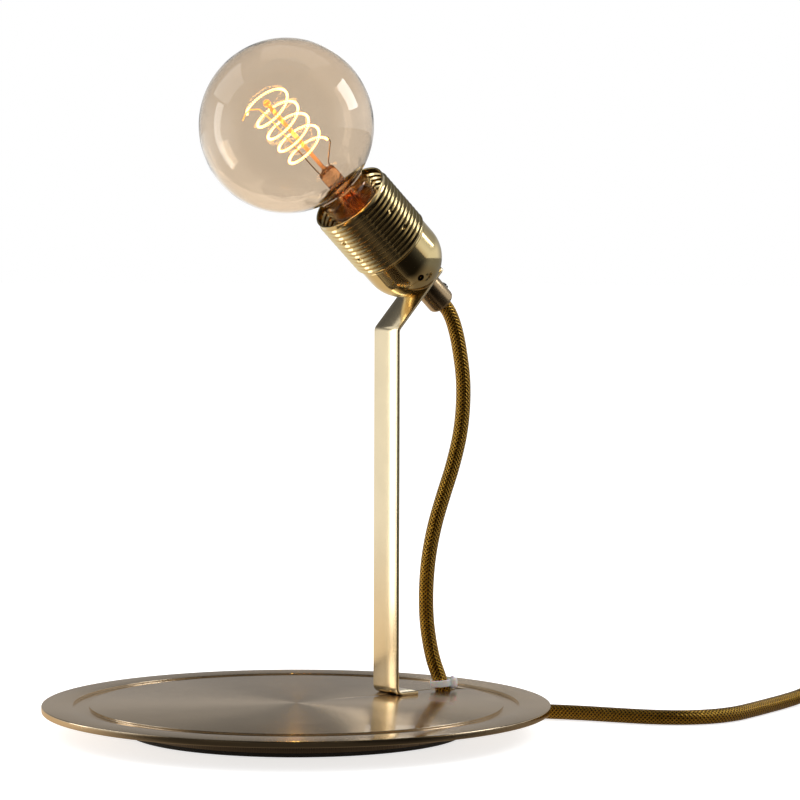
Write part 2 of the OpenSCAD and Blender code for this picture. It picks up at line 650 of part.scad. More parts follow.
module coil_tie() color([0.12, 0.12, 0.12]) {
    wide = layer_turns * coil_step + cord_d + 1;
    high = 3 * coil_step + cord_d + 2 * gap;
    translate([coil_c[0], coil_c[1], 0]) rotate([0, 0, coil_tie_turn])
        translate([coil_r + cord_d / 2 + 0.5 - wide, coil_tie_w / 2, coil_lift - gap]) rotate([90, 0, 0])
            linear_extrude(coil_tie_w) difference() {
                translate([-tie_t, -tie_t]) square([wide + 2 * tie_t, high + 2 * tie_t]);
                square([wide, high]);
            }
}

module cord_tail() color([0.78, 0.6, 0.22]) {
    from = flat(coil_end + cord_d * plug_dir, coil_end_z);
    way = flat(plug_dir, 0);
    drop = coil_end_z - plug_z;
    run = tail_len - cord_d;
    tube([from, from + 3 * way, from + 0.3 * run * way - [0, 0, 0.14 * drop], from + 0.55 * run * way - [0, 0, 0.55 * drop],
        from + 0.8 * run * way - [0, 0, 0.9 * drop], from + (run - 1) * way - [0, 0, drop],
        from + (run + sleeve_len) * way - [0, 0, drop]], cord_d, 10, [0, 0, 1]);
}

module cord_tie() color([0.9, 0.88, 0.85]) translate(tie_at) rotate([0, -tie_lean, tie_heading]) difference() {
    union() {
        translate([0, 0, -tie_band / 2]) cylinder(r = tie_r + tie_wall, h = tie_band);
        translate([tie_r, -tie_head[1] / 2, tie_band / 2 + 0.6 - tie_head[2]]) cube(tie_head);
    }
    translate([0, 0, -10]) cylinder(r = tie_r, h = 20);
}

module switch_plan(inset) {
    polygon([[inset, 7 - inset], [12, switch_w / 2 - inset], [switch_l - 12, switch_w / 2 - inset],
        [switch_l - inset, 7 - inset], [switch_l - inset, -7 + inset], [switch_l - 12, -switch_w / 2 + inset],
        [12, -switch_w / 2 + inset], [inset, -7 + inset]]);
}

module switch_mouths() {
    translate([-1, 0, switch_mouth_z]) rotate([0, 90, 0]) cylinder(d = cord_d + 2 * fit, h = switch_seat + 1);
    translate([switch_l - switch_seat, 0, switch_mouth_z]) rotate([0, 90, 0])
        cylinder(d = cord_d + 2 * fit, h = switch_seat + 1);
}

module switch_screw_places() {
    for (side = [-1, 1]) translate([switch_l / 2 + side * 16, side * (switch_w / 2 - 5.4), 0]) children();
}

module switch_base() color([0.1, 0.1, 0.1]) on_switch() difference() {
    linear_extrude(switch_mouth_z) switch_plan(0);
    difference() {
        translate([switch_seat + 3, -switch_w, switch_floor]) cube([switch_l - 2 * switch_seat - 6, 2 * switch_w, 20]);
        translate([0, 0, -1]) linear_extrude(30) difference() {
            translate([-5, -switch_w]) square([switch_l + 10, 2 * switch_w]);
            switch_plan(switch_floor);
        }
        switch_screw_places() cylinder(d = 6, h = switch_h);
    }
    switch_mouths();
    switch_screw_places() {
        translate([0, 0, -1]) cylinder(d = 2.8, h = switch_h);
        translate([0, 0, -eps]) cylinder(d1 = 5.2, d2 = 2.8, h = 1.2);
    }
}

module switch_cover() color([0.1, 0.1, 0.1]) on_switch() difference() {
    union() {
        difference() {
            translate([0, 0, switch_mouth_z]) linear_extrude(switch_h - switch_mouth_z) switch_plan(0);
            difference() {
                translate([switch_seat + 3, -switch_w, -1])
                    cube([switch_l - 2 * switch_seat - 6, 2 * switch_w, switch_h - switch_floor + 1]);
                translate([0, 0, -2]) linear_extrude(40) difference() {
                    translate([-5, -switch_w]) square([switch_l + 10, 2 * switch_w]);
                    switch_plan(switch_floor);
                }
                switch_screw_places() cylinder(d = 6, h = switch_h);
            }
        }
        for (side = [-1, 1]) translate([switch_l / 2 - 3, side * (rocker_w / 2 + rocker_gap + cheek_t / 2) - cheek_t / 2,
            pivot_z - 3]) cube([6, cheek_t, switch_h - pivot_z + 2]);
    }
    switch_mouths();
    translate([switch_l / 2 - opening_l / 2, -rocker_w / 2 - rocker_gap, switch_mouth_z - 1])
        cube([opening_l, rocker_w + 2 * rocker_gap, switch_h]);
    translate([switch_l / 2, -pin_len / 2 - fit, pivot_z]) rotate([-90, 0, 0]) cylinder(d = 2 + fit, h = pin_len + 2 * fit);
    switch_screw_places() cylinder(d = 2.6, h = 15);
}

module switch_rocker() color([0.13, 0.13, 0.13]) on_switch() translate([switch_l / 2, 0, pivot_z])
    rotate([0, rocker_tilt, 0]) difference() {
        half = rocker_l / 2;
        translate([0, rocker_w / 2, 0]) rotate([90, 0, 0]) linear_extrude(rocker_w)
            polygon([[-half, -0.6], [-half, rocker_top], [0, rocker_top - 1.6], [half, rocker_top], [half, -0.6],
                [3.5, -3.6], [-3.5, -3.6]]);
        translate([0, -rocker_w, 0]) rotate([-90, 0, 0]) cylinder(d = 2 + 2 * fit, h = 2 * rocker_w);
    }

module switch_pin() color([0.75, 0.74, 0.7]) on_switch()
    translate([switch_l / 2, -pin_len / 2, pivot_z]) rotate([-90, 0, 0]) cylinder(d = 2, h = pin_len);

module switch_screws() color([0.75, 0.74, 0.7]) on_switch() switch_screw_places() {
    translate([0, 0, 0.1]) cylinder(d1 = 4.9, d2 = 2.5, h = 1.1);
    translate([0, 0, 1]) cylinder(d = 2.5, h = 12.5);
}

module switch_terminals() color([0.85, 0.72, 0.4]) on_switch() for (side = [-1, 1])
    translate([switch_l / 2 + side * 12 - 4, -side * 4 - 2.5, switch_floor]) difference() {
        cube([8, 5, 5]);
        translate([4, 2.5, 1]) cylinder(d = 2.6, h = 5);
    }

module plug_sleeve() color([0.09, 0.09, 0.09]) on_plug() difference() {
    cylinder(d1 = cord_d + 2, d2 = 13, h = sleeve_len);
    translate([0, 0, -1]) cylinder(d = cord_d + 2 * fit, h = sleeve_len + 2);
}

module pin_places() {
    for (side = [-1, 1]) translate([0, side * pin_gap / 2, plug_face]) children();
}

module plug_body() color([0.09, 0.09, 0.09]) on_plug() difference() {
    rotate_extrude() polygon([[0, sleeve_len], [8, sleeve_len], [10, sleeve_len + 4], [plug_d / 2 - 1.5, sleeve_len + 13],
        [plug_d / 2, sleeve_len + 15], [plug_d / 2, plug_face - 1], [plug_d / 2 - 1, plug_face], [0, plug_face]]);
    pin_places() translate([0, 0, -pin_seat]) cylinder(d = pin_d + 2 * fit, h = pin_seat + 1);
    for (side = [0, 1]) mirror([side, 0, 0]) translate([plug_d / 2 - clip_t - 0.6, -4, plug_face - clip_len])
        cube([5, 8, clip_len + 1]);
}

module plug_pins() color([0.8, 0.79, 0.76]) on_plug() pin_places() {
    translate([0, 0, -pin_seat]) cylinder(d = pin_d, h = pin_seat + pin_l - 1.6);
    translate([0, 0, pin_l - 1.6]) cylinder(d1 = pin_d, d2 = pin_d - 2, h = 1.6);
}

module plug_earth_clips() color([0.8, 0.79, 0.76]) on_plug() for (side = [0, 1]) mirror([side, 0, 0])
    translate([plug_d / 2 - clip_t - 0.6, -3.7, plug_face - clip_len]) cube([clip_t, 7.4, clip_len - 0.2]);

base_plate();
base_weight();
base_pad();
weight_screws();
stem_screws();
stem_strip();
lampholder_cup();
lampholder_skirt();
ceramic_insert();
screw_liner();
centre_contact();
terminal_blocks();
terminal_screws();
threaded_nipple();
nipple_nut();
earth_tag();
cord_grip();
grip_screw();
cord_end();
core_wires();
bulb_globe();
bulb_cap();
cap_insulator();
cap_contact();
bulb_stem();
bulb_wires();
filament();
cord_tie();
cord_riser();
cord_link();
cord_coil();
coil_tie();
cord_tail();
switch_base();
switch_cover();
switch_rocker();
switch_pin();
switch_screws();
switch_terminals();
plug_sleeve();
plug_body();
plug_pins();
plug_earth_clips();
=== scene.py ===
import bpy, bmesh, math
from math import pi, sin, cos, tan, radians, sqrt
from mathutils import Vector, Matrix


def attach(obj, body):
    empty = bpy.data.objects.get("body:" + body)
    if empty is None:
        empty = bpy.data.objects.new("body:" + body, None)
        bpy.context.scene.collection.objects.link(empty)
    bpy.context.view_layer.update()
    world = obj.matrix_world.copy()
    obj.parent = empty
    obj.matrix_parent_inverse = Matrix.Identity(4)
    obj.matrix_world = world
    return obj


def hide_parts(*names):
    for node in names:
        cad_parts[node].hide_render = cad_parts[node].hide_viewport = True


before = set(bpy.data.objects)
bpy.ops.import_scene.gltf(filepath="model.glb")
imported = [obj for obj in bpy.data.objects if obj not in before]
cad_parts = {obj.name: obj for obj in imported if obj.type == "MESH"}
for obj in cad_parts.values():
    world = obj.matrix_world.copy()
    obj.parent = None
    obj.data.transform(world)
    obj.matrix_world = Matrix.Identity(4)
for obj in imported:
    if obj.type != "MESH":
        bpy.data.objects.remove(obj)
bpy.context.scene.view_settings.view_transform = "Standard"
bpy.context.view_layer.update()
mm = 0.001
weldGap = 1e-7
up = Vector((0, 0, 1))
print("frame loaded:", len(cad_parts), "nodes")


# small helpers for objects

def newObject(name, data):
    obj = bpy.data.objects.new(name, data)
    bpy.context.collection.objects.link(obj)
    return obj


def meshObject(name, bm):
    data = bpy.data.meshes.new(name)
    bm.to_mesh(data)
    bm.free()
    return newObject(name, data)


def bakedMesh(obj):
    # the object's shape with its modifiers, or its curve, as a new mesh
    graph = bpy.context.evaluated_depsgraph_get()
    return bpy.data.meshes.new_from_object(obj.evaluated_get(graph), preserve_all_data_layers=True,
                                           depsgraph=graph)


def adopt(obj, mat, body, nodes):
    # its finish, the body that carries it, and the CAD nodes that it stands for
    obj.data.materials.clear()
    obj.data.materials.append(mat)
    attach(obj, body)
    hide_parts(*nodes)
    return obj


def dress(name, mat):
    # a CAD node keeps its shape and gets a finish
    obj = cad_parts[name]
    obj.data.materials.clear()
    obj.data.materials.append(mat)


def finishPiece(name, bm, mat, body, nodes, place=None, sharp=35):
    # edges over the sharp angle stay crisp
    bmesh.ops.remove_doubles(bm, verts=bm.verts, dist=weldGap)
    bmesh.ops.recalc_face_normals(bm, faces=bm.faces)
    if place is not None:
        bmesh.ops.transform(bm, matrix=place, verts=bm.verts)
    for face in bm.faces:
        face.smooth = True
    for edge in bm.edges:
        if len(edge.link_faces) == 2 and edge.calc_face_angle(0) > radians(sharp):
            edge.smooth = False
    return adopt(meshObject(name, bm), mat, body, nodes)


def tubeAlong(name, path, radius, mat, body, nodes, sides):
    # a round tube along the path, made as a curve and turned into a mesh
    curve = bpy.data.curves.new(name, "CURVE")
    curve.dimensions = "3D"
    curve.bevel_depth = radius
    curve.bevel_resolution = sides
    curve.use_fill_caps = True
    spline = curve.splines.new("POLY")
    spline.points.add(len(path) - 1)
    for point, p in zip(spline.points, path):
        point.co = (*p, 1)
    raw = newObject(name + "Curve", curve)
    data = bakedMesh(raw)
    bpy.data.objects.remove(raw)
    data.name = name
    for face in data.polygons:
        face.use_smooth = True
    return adopt(newObject(name, data), mat, body, nodes)


def cutWith(obj, cutters):
    # takes the cutters' shapes out of obj and deletes them
    for cutter in cutters:
        mod = obj.modifiers.new("cut", "BOOLEAN")
        mod.operation = "DIFFERENCE"
        mod.solver = "EXACT"
        mod.object = cutter
    data = bakedMesh(obj)
    obj.modifiers.clear()
    obj.data = data
    for cutter in cutters:
        bpy.data.objects.remove(cutter)


def rodCutter(start, end, radius, steps=48, twist=2.3):
    # twisted a little, so that no edge falls on one of the cut piece's
    bm = bmesh.new()
    way = end - start
    bmesh.ops.create_cone(bm, cap_ends=True, segments=steps, radius1=radius, radius2=radius, depth=way.length)
    turn = way.to_track_quat("Z", "Y").to_matrix().to_4x4() @ Matrix.Rotation(radians(twist), 4, "Z")
    bmesh.ops.transform(bm, matrix=Matrix.Translation((start + end) / 2) @ turn, verts=bm.verts)
    return meshObject("cutter", bm)


def boxCutter(low, high, place):
    bm = bmesh.new()
    bmesh.ops.create_cube(bm, size=1)
    size = [(b - a) * mm for a, b in zip(low, high)]
    middle = Vector([(a + b) / 2 * mm for a, b in zip(low, high)])
    place = place @ Matrix.Translation(middle) @ Matrix.Diagonal((*size, 1))
    bmesh.ops.transform(bm, matrix=place, verts=bm.verts)
    return meshObject("cutter", bm)


# small helpers for shapes, in mm

def addRing(bm, points):
    return [bm.verts.new((x * mm, y * mm, z * mm)) for x, y, z in points]


def joinRings(bm, a, b):
    count = len(a)
    for k in range(count):
        bm.faces.new((a[k], a[(k + 1) % count], b[(k + 1) % count], b[k]))


def turned(profile, steps, closed=True):
    # a profile of (radius, height), spun round Z
    bm = bmesh.new()
    verts = addRing(bm, [(r, 0, z) for r, z in profile])
    edges = [bm.edges.new((a, b)) for a, b in zip(verts, verts[1:])]
    if closed:
        edges.append(bm.edges.new((verts[-1], verts[0])))
    bmesh.ops.spin(bm, geom=verts + edges, cent=(0, 0, 0), axis=(0, 0, 1), angle=2 * pi, steps=steps,
                   use_merge=True)
    bmesh.ops.remove_doubles(bm, verts=bm.verts, dist=weldGap)
    return bm


def roundCorner(points, sizes, steps=4):
    # rounds the corners of a closed outline of (x, y)
    done = []
    for i, p in enumerate(points):
        p = Vector(p)
        before, after = Vector(points[i - 1]), Vector(points[(i + 1) % len(points)])
        size = sizes[i] if hasattr(sizes, "__len__") else sizes
        if size <= 0:
            done.append(tuple(p))
            continue
        a = p + (before - p).normalized() * size
        b = p + (after - p).normalized() * size
        for k in range(steps + 1):
            t = k / steps
            done.append(tuple((1 - t) ** 2 * a + 2 * t * (1 - t) * p + t * t * b))
    return done


def smoothPath(points, step, parts=24):
    # a smooth line through the points, with places a step apart
    pts = [Vector(p) for p in points]
    pts = [2 * pts[0] - pts[1]] + pts + [2 * pts[-1] - pts[-2]]
    fine = []
    for a, b, c, d in zip(pts, pts[1:], pts[2:], pts[3:]):
        ta, tb, tc = (b - a).length ** 0.5, (c - b).length ** 0.5, (d - c).length ** 0.5
        outB = ((b - a) / ta - (c - a) / (ta + tb) + (c - b) / tb) * tb
        inC = ((c - b) / tb - (d - b) / (tb + tc) + (d - c) / tc) * tb
        for k in range(parts):
            t = k / parts
            fine.append((2 * t**3 - 3 * t**2 + 1) * b + (t**3 - 2 * t**2 + t) * outB
                        + (3 * t**2 - 2 * t**3) * c + (t**3 - t**2) * inC)
    fine.append(pts[-2])
    return evenPath(fine, step)[0]


def evenPath(fine, step):
    # the same line in equal steps, and its length
    lengths = [0.0]
    for a, b in zip(fine, fine[1:]):
        lengths.append(lengths[-1] + (b - a).length)
    count = max(2, round(lengths[-1] / step))
    path, k = [], 0
    for i in range(count + 1):
        want = lengths[-1] * i / count
        while k < len(fine) - 2 and lengths[k + 1] < want:
            k += 1
        span = lengths[k + 1] - lengths[k]
        path.append(fine[k].lerp(fine[k + 1], 0 if span == 0 else min(1, (want - lengths[k]) / span)))
    return path, lengths[-1]


def smoothStep(x):
    return 0 if x <= 0 else 1 if x >= 1 else (1 - cos(pi * x)) / 2


# small helpers for materials

def nodeTree(name):
    mat = bpy.data.materials.new(name)
    mat.use_nodes = True
    return mat, mat.node_tree, mat.node_tree.nodes["Principled BSDF"]


def add(tree, kind, inputs=None, **settings):
    # sockets given as inputs are linked, other values are set
    node = tree.nodes.new(kind)
    for key, value in settings.items():
        setattr(node, key, value)
    for key, value in (inputs or {}).items():
        if isinstance(value, bpy.types.NodeSocket):
            tree.links.new(value, node.inputs[key])
        else:
            node.inputs[key].default_value = value
    return node


def setMany(shader, **values):
    # the same for a shader: Base_Color stands for "Base Color"
    for key, value in values.items():
        socket = shader.inputs[key.replace("_", " ")]
        if isinstance(value, bpy.types.NodeSocket):
            shader.id_data.links.new(value, socket)
        else:
            socket.default_value = (*value, 1) if isinstance(value, tuple) else value


def maths(tree, operation, a, b=0.0):
    return add(tree, "ShaderNodeMath", {0: a, 1: b}, operation=operation).outputs[0]


def times(tree, a, b):
    return maths(tree, "MULTIPLY", a, b)


def plus(tree, a, b):
    return maths(tree, "ADD", a, b)


def alongWay(tree, vector, way):
    inputs = {0: vector, 1: tuple(way)}
    return add(tree, "ShaderNodeVectorMath", inputs, operation="DOT_PRODUCT").outputs["Value"]


def rangeOf(tree, value, fromLow, fromHigh, toLow, toHigh):
    inputs = {"Value": value, "From Min": fromLow, "From Max": fromHigh, "To Min": toLow, "To Max": toHigh}
    return add(tree, "ShaderNodeMapRange", inputs, interpolation_type="SMOOTHSTEP").outputs[0]


def ramp(tree, value, stops):
    node = add(tree, "ShaderNodeValToRGB", {"Fac": value})
    band = node.color_ramp
    while len(band.elements) < len(stops):
        band.elements.new(0.5)
    for element, (place, colour) in zip(band.elements, stops):
        element.position = place
        element.color = (*colour, 1)
    return node.outputs["Color"]


def mixColour(tree, factor, first, second):
    inputs = {"Factor": factor}
    for key, value in ((6, first), (7, second)):
        inputs[key] = (*value, 1) if isinstance(value, tuple) else value
    return add(tree, "ShaderNodeMix", inputs, data_type="RGBA").outputs[2]


def noise(tree, vector, scale, detail=2.0, rough=0.5):
    inputs = {"Vector": vector, "Scale": scale, "Detail": detail, "Roughness": rough}
    return add(tree, "ShaderNodeTexNoise", inputs).outputs[0]


def bump(tree, height, strength, distance):
    inputs = {"Height": height, "Strength": strength, "Distance": distance}
    return add(tree, "ShaderNodeBump", inputs).outputs[0]


def objectPlace(tree):
    return add(tree, "ShaderNodeTexCoord").outputs["Object"]


def darker(colour, share):
    return tuple(v * share for v in colour)


# camera: same place and lens as the photograph

camera = dict(place=(1.36085, -0.95288, 0.250), azimuth=55.0, pitch=-3.2088, yaw=1.6697, roll=0.188,
              lens=159.26, sensor=36, reach=50)

azimuth = radians(camera["azimuth"])
sideways = Vector((cos(azimuth), sin(azimuth), 0))
away = Vector((-sin(azimuth), cos(azimuth), 0))


def addCamera(c):
    yaw, pitch, roll = (radians(c[key]) for key in ("yaw", "pitch", "roll"))
    level = cos(yaw) * away + sin(yaw) * sideways
    look = cos(pitch) * level + sin(pitch) * up
    right = cos(yaw) * sideways - sin(yaw) * away
    top = right.cross(look)
    rolledRight = cos(roll) * right + sin(roll) * top
    rolledTop = cos(roll) * top - sin(roll) * right
    data = bpy.data.cameras.new("photoCamera")
    data.lens = c["lens"]
    data.sensor_width = c["sensor"]
    data.sensor_fit = "HORIZONTAL"
    data.clip_end = c["reach"]
    obj = newObject("photoCamera", data)
    turn = Matrix((rolledRight, rolledTop, -look)).transposed().to_4x4()
    obj.matrix_world = Matrix.Translation(Vector(c["place"])) @ turn
    bpy.context.scene.camera = obj


addCamera(camera)


# the lampholder's own axes: local Z runs from the flange to the bulb

head = dict(stripY=51.8, bendZ=189.4, slope=47.5, offset=31.4)
slope = radians(head["slope"])
headPlace = (Matrix.Translation(Vector((0, head["stripY"] + head["offset"] * cos(slope),
                                        head["bendZ"] + head["offset"] * sin(slope))) * mm)
             @ Matrix.Rotation(slope, 4, "X"))
headWay = headPlace.to_3x3() @ up


def onAxis(z):
    return headPlace @ Vector((0, 0, z * mm))


# the cord's way: down from the grip, through the base, over the table, through the switch and into a coil

cord = dict(diameter=7.2, step=2.2, pathStep=2, coilRadius=44, coilStep=7.8, layerTurns=1.375, layers=4,
            perTurn=40, coilLift=0.7, gripMouth=-17, switchLength=66, mouthHeight=7, linkLength=34,
            tailLength=52, plugRadius=18.5, inPlug=24,
            tailDrop=((0.3, 0.14), (0.55, 0.55), (0.8, 0.9), (0.98, 1)))
riserPoints = [(0, 94.2, 186.5), (0, 96.3, 178), (0, 98.5, 164), (0, 98.5, 150), (0, 96.5, 136),
               (0, 92, 121), (0, 86.5, 107), (0, 81.5, 93), (0, 78, 78), (0, 76.5, 62), (0, 77, 47),
               (0.4, 78.8, 35), (1.2, 80.5, 27), (2.3, 82.3, 21), (3.8, 84, 14.1), (5.2, 85.6, 9.9),
               (7.4, 88.1, 6.6), (10.1, 91.2, 4.5), (13.2, 94.7, 3.7), (20, 102.5, 3.7)]
leadPoints = [(28, 112, 3.7), (38, 122, 3.7), (52, 132.5, 3.7), (67, 141.5, 3.7), (81, 151, 3.7),
              (91.5, 162.5, 3.7), (96.5, 176, 3.7), (96, 191, 3.7), (91, 207, 3.7), (85, 223, 3.7),
              (79, 239, 3.8), (74, 254, 4.5), (70, 268, 6.5)]
switchYaw = radians(105)
switchPlace = Matrix.Translation(Vector((61, 300, 0)) * mm) @ Matrix.Rotation(switchYaw, 4, "Z")
gripMouth = onAxis(cord["gripMouth"])


def switchPoint(x, z):
    return switchPlace @ (Vector((x, 0, z)) * mm)


def coilPoints(c, centre, startAngle):
    # layers of loops, each wound inwards and out again
    pts = []
    layerTurns = c["layerTurns"]
    for i in range(round(c["layers"] * layerTurns * c["perTurn"]) + 1):
        turn = i / c["perTurn"]
        phase = turn % (2 * layerTurns)
        inward = phase if phase < layerTurns else 2 * layerTurns - phase
        radius = (c["coilRadius"] - c["coilStep"] * inward) * mm
        angle = startAngle - 2 * pi * turn
        climb = sum(smoothStep((turn - k * layerTurns) * 2 + 0.5) for k in range(1, c["layers"]))
        height = (c["diameter"] / 2 + c["coilLift"] + c["coilStep"] * climb) * mm
        pts.append(centre + Vector((radius * cos(angle), radius * sin(angle), height)))
    return pts


def cordRoute(c):
    mouth, length, low = c["mouthHeight"], c["switchLength"], c["diameter"] / 2 + c["coilLift"]
    start = [gripMouth, gripMouth - headWay * 4.2 * mm, gripMouth + Vector((0, 6.05, -7.67)) * mm]
    start += [Vector(p) * mm for p in riserPoints + leadPoints]
    start += [switchPoint(x, mouth) for x in (-8.2, -1, 8)]
    ahead = [switchPoint(length + x, z)
             for x, z in ((-8, mouth), (1, mouth), (9, mouth - 0.6), (18, low + 0.6), (24.8, low))]
    inwards = Vector((cos(switchYaw - pi / 2), sin(switchYaw - pi / 2), 0))
    centre = switchPoint(length + c["linkLength"], 0) + inwards * c["coilRadius"] * mm
    startAngle = switchYaw + pi / 2
    loops = coilPoints(c, centre, startAngle)
    endAngle = startAngle - 2 * pi * c["layers"] * c["layerTurns"]
    plugWay = Vector((sin(endAngle), -cos(endAngle), 0))
    drop = loops[-1].z - c["plugRadius"] * mm
    run = (c["tailLength"] - c["diameter"]) * mm
    leave = loops[-1] + plugWay * c["diameter"] * mm
    tail = [leave] + [leave + plugWay * run * along - up * drop * down for along, down in c["tailDrop"]]
    plugStart = leave + plugWay * run - up * drop
    tail.append(plugStart + plugWay * c["inPlug"] * mm)
    first = smoothPath(start, c["pathStep"] * mm)
    second = smoothPath(ahead + loops[::4] + tail, c["pathStep"] * mm)
    path, total = evenPath(first + second, c["step"] * mm)
    return path, total, plugStart, plugWay, centre


cordPath, cordLength, plugStart, plugWay, coilCentre = cordRoute(cord)


# gold fabric braid

# the braid's colour darkens in the hollows between strands: painted shade, on top of the yarn's own random
# tone
braidLook = dict(strands=22, cell=1.9, weaveShade=0.42, yarn=0.5, yarnScale=900, relief=0.5, depth=0.0004,
                 tonesAndShade=[(0.05, (0.035, 0.017, 0.003)), (0.32, (0.22, 0.11, 0.014)),
                        (0.62, (0.62, 0.35, 0.05)), (0.85, (0.92, 0.60, 0.13))])


def braidMaterial(c, length):
    # two sets of strands that cross, on the tube's own UV map
    mat, tree, shader = nodeTree("goldBraid")
    uv = add(tree, "ShaderNodeSeparateXYZ", {"Vector": add(tree, "ShaderNodeUVMap").outputs[0]})
    along = times(tree, uv.outputs[0], length / (c["cell"] * mm))
    across = times(tree, uv.outputs[1], c["strands"] / 2)
    left = maths(tree, "SINE", times(tree, plus(tree, along, across), 2 * pi))
    right = maths(tree, "SINE", times(tree, maths(tree, "SUBTRACT", along, across), 2 * pi))
    height = maths(tree, "MAXIMUM", left, right)
    yarn = noise(tree, objectPlace(tree), c["yarnScale"], 3)
    # painted shade: lower in the weave is darker, plus the yarn's own random tone
    tone = plus(tree, times(tree, height, c["weaveShade"]), times(tree, yarn, c["yarn"]))
    setMany(shader, Base_Color=ramp(tree, tone, c["tonesAndShade"]),
            Normal=bump(tree, height, c["relief"], c["depth"]), Roughness=0.3, Metallic=0.97)
    return mat


braid = braidMaterial(braidLook, cordLength)
cordPiece = tubeAlong("fabricCord", cordPath, cord["diameter"] / 2 * mm, braid, "lamp",
                      ("cord_riser", "cord_link", "cord_coil", "cord_tail"), sides=6)
print("cord:", round(cordLength, 3), "m")


# finishes

brassLook = dict(cloudScale=60, fine=3000, along=40, scratch=0.00002, gloss=(0.8, 1.25))
spunLook = dict(rings=5200, around=5, cloudScale=28, lineShare=0.55, cloudShare=0.45, dark=0.76, light=1.1,
                wallFrom=0.8, wallTo=0.97, rimFrom=0.108, rimTo=0.116, innerWall=0.35, wallGloss=0.1,
                relief=0.2)
plasticLook = dict(fine=2500, broad=80, dark=0.85, gloss=(0.9, 1.1), depth=0.00004)
feltLook = dict(fibre=1800, dark=0.5, relief=0.8, depth=0.0003)


def varied(tree, value, low, high, amount, spread):
    # an amount that varies a little with the pattern
    return rangeOf(tree, value, low, high, amount * spread[0], amount * spread[1])


def brassMaterial(name, colour, roughness, speckle=0.06, grain=0.0, grainAxis="Z"):
    # plain turned or rolled brass: faint clouding, fine scratches, small change in gloss
    c = brassLook
    mat, tree, shader = nodeTree(name)
    place = objectPlace(tree)
    clouds = noise(tree, place, c["cloudScale"], 4)
    stretch = tuple(c["along"] if axis == grainAxis else c["fine"] for axis in "XYZ")
    lines = noise(tree, add(tree, "ShaderNodeMapping", {"Vector": place, "Scale": stretch}).outputs[0], 1, 3)
    dark = darker(colour, 1 - speckle * 2)
    setMany(shader, Base_Color=ramp(tree, clouds, [(0.3, dark), (0.7, colour)]), Metallic=1.0,
            Roughness=varied(tree, lines, 0.3, 0.7, roughness, c["gloss"]))
    if grain:
        setMany(shader, Normal=bump(tree, lines, grain, c["scratch"]))
    return mat


def plasticMaterial(name, colour, roughness, texture=0.3):
    c = plasticLook
    mat, tree, shader = nodeTree(name)
    place = objectPlace(tree)
    broad = noise(tree, place, c["broad"], 3)
    setMany(shader, Base_Color=ramp(tree, broad, [(0.3, darker(colour, c["dark"])), (0.7, colour)]),
            Roughness=varied(tree, broad, 0.3, 0.7, roughness, c["gloss"]),
            Normal=bump(tree, noise(tree, place, c["fine"], 2), texture, c["depth"]))
    return mat


def spunMaterial(name, colour, wallColour, roughness):
    # circular brushing round the middle of the base
    c = spunLook
    mat, tree, shader = nodeTree(name)
    place = objectPlace(tree)
    parts = add(tree, "ShaderNodeSeparateXYZ", {"Vector": place})
    x, y = parts.outputs[0], parts.outputs[1]
    radius = maths(tree, "SQRT", plus(tree, times(tree, x, x), times(tree, y, y)))
    angle = maths(tree, "ARCTAN2", y, x)
    ring = add(tree, "ShaderNodeCombineXYZ", {0: times(tree, radius, c["rings"]),
                                              1: times(tree, angle, c["around"])})
    lines = noise(tree, ring.outputs[0], 1, 4, 0.6)
    clouds = noise(tree, place, c["cloudScale"], 3)
    tone = plus(tree, times(tree, lines, c["lineShare"]), times(tree, clouds, c["cloudShare"]))
    light = tuple(min(1, v * c["light"]) for v in colour)
    brushed = ramp(tree, tone, [(0.32, darker(colour, c["dark"])), (0.68, light)])
    # the rim and the channel's walls are turned bright
    normal = add(tree, "ShaderNodeTexCoord").outputs["Normal"]
    upright = add(tree, "ShaderNodeSeparateXYZ", {0: normal}).outputs[2]
    wall = rangeOf(tree, maths(tree, "ABSOLUTE", upright), c["wallFrom"], c["wallTo"], 1.0, 0.0)
    wall = times(tree, wall, rangeOf(tree, radius, c["rimFrom"], c["rimTo"], c["innerWall"], 1.0))
    rough = varied(tree, lines, 0.25, 0.75, roughness, brassLook["gloss"])
    rough = add(tree, "ShaderNodeMix", {"Factor": wall, "A": rough, "B": c["wallGloss"]}).outputs[0]
    tangent = add(tree, "ShaderNodeTangent", direction_type="RADIAL", axis="Z")
    setMany(shader, Base_Color=mixColour(tree, wall, brushed, wallColour), Roughness=rough,
            Normal=bump(tree, lines, c["relief"], brassLook["scratch"]), Tangent=tangent.outputs[0],
            Metallic=1.0, Anisotropic=0.94, Anisotropic_Rotation=0.25, Specular_Tint=(0.85, 0.75, 0.62),
            Coat_Weight=0.25, Coat_Roughness=0.04)
    return mat


def glassMaterial(name, colour, roughness=0.0, wave=0.05, fine=45):
    # blown glass: a faint waviness
    mat, tree, shader = nodeTree(name)
    setMany(shader, Normal=bump(tree, noise(tree, objectPlace(tree), fine, 2), wave, 0.18 / fine),
            Base_Color=colour, Roughness=roughness, IOR=1.47, Transmission_Weight=1.0)
    return mat


def paintedGlowNear(mat, low, high, strength, colour=(1.0, 0.33, 0.06)):
    # painted glow: parts near the filament get emission that stands in for the filament's light on them; low
    # and high are metres above the flange
    tree = mat.node_tree
    height = alongWay(tree, objectPlace(tree), headWay)
    height = maths(tree, "SUBTRACT", height, headPlace.translation.dot(headWay))
    setMany(tree.nodes["Principled BSDF"], Emission_Strength=rangeOf(tree, height, low, high, 0.0, strength),
            Emission_Color=colour)


def glowMaterial(name, colour, strength):
    mat, tree, shader = nodeTree(name)
    flicker = noise(tree, objectPlace(tree), 400, 2)
    setMany(shader, Base_Color=(0.2, 0.1, 0.04), Emission_Color=colour,
            Emission_Strength=varied(tree, flicker, 0.3, 0.7, strength, (0.85, 1.15)))
    return mat


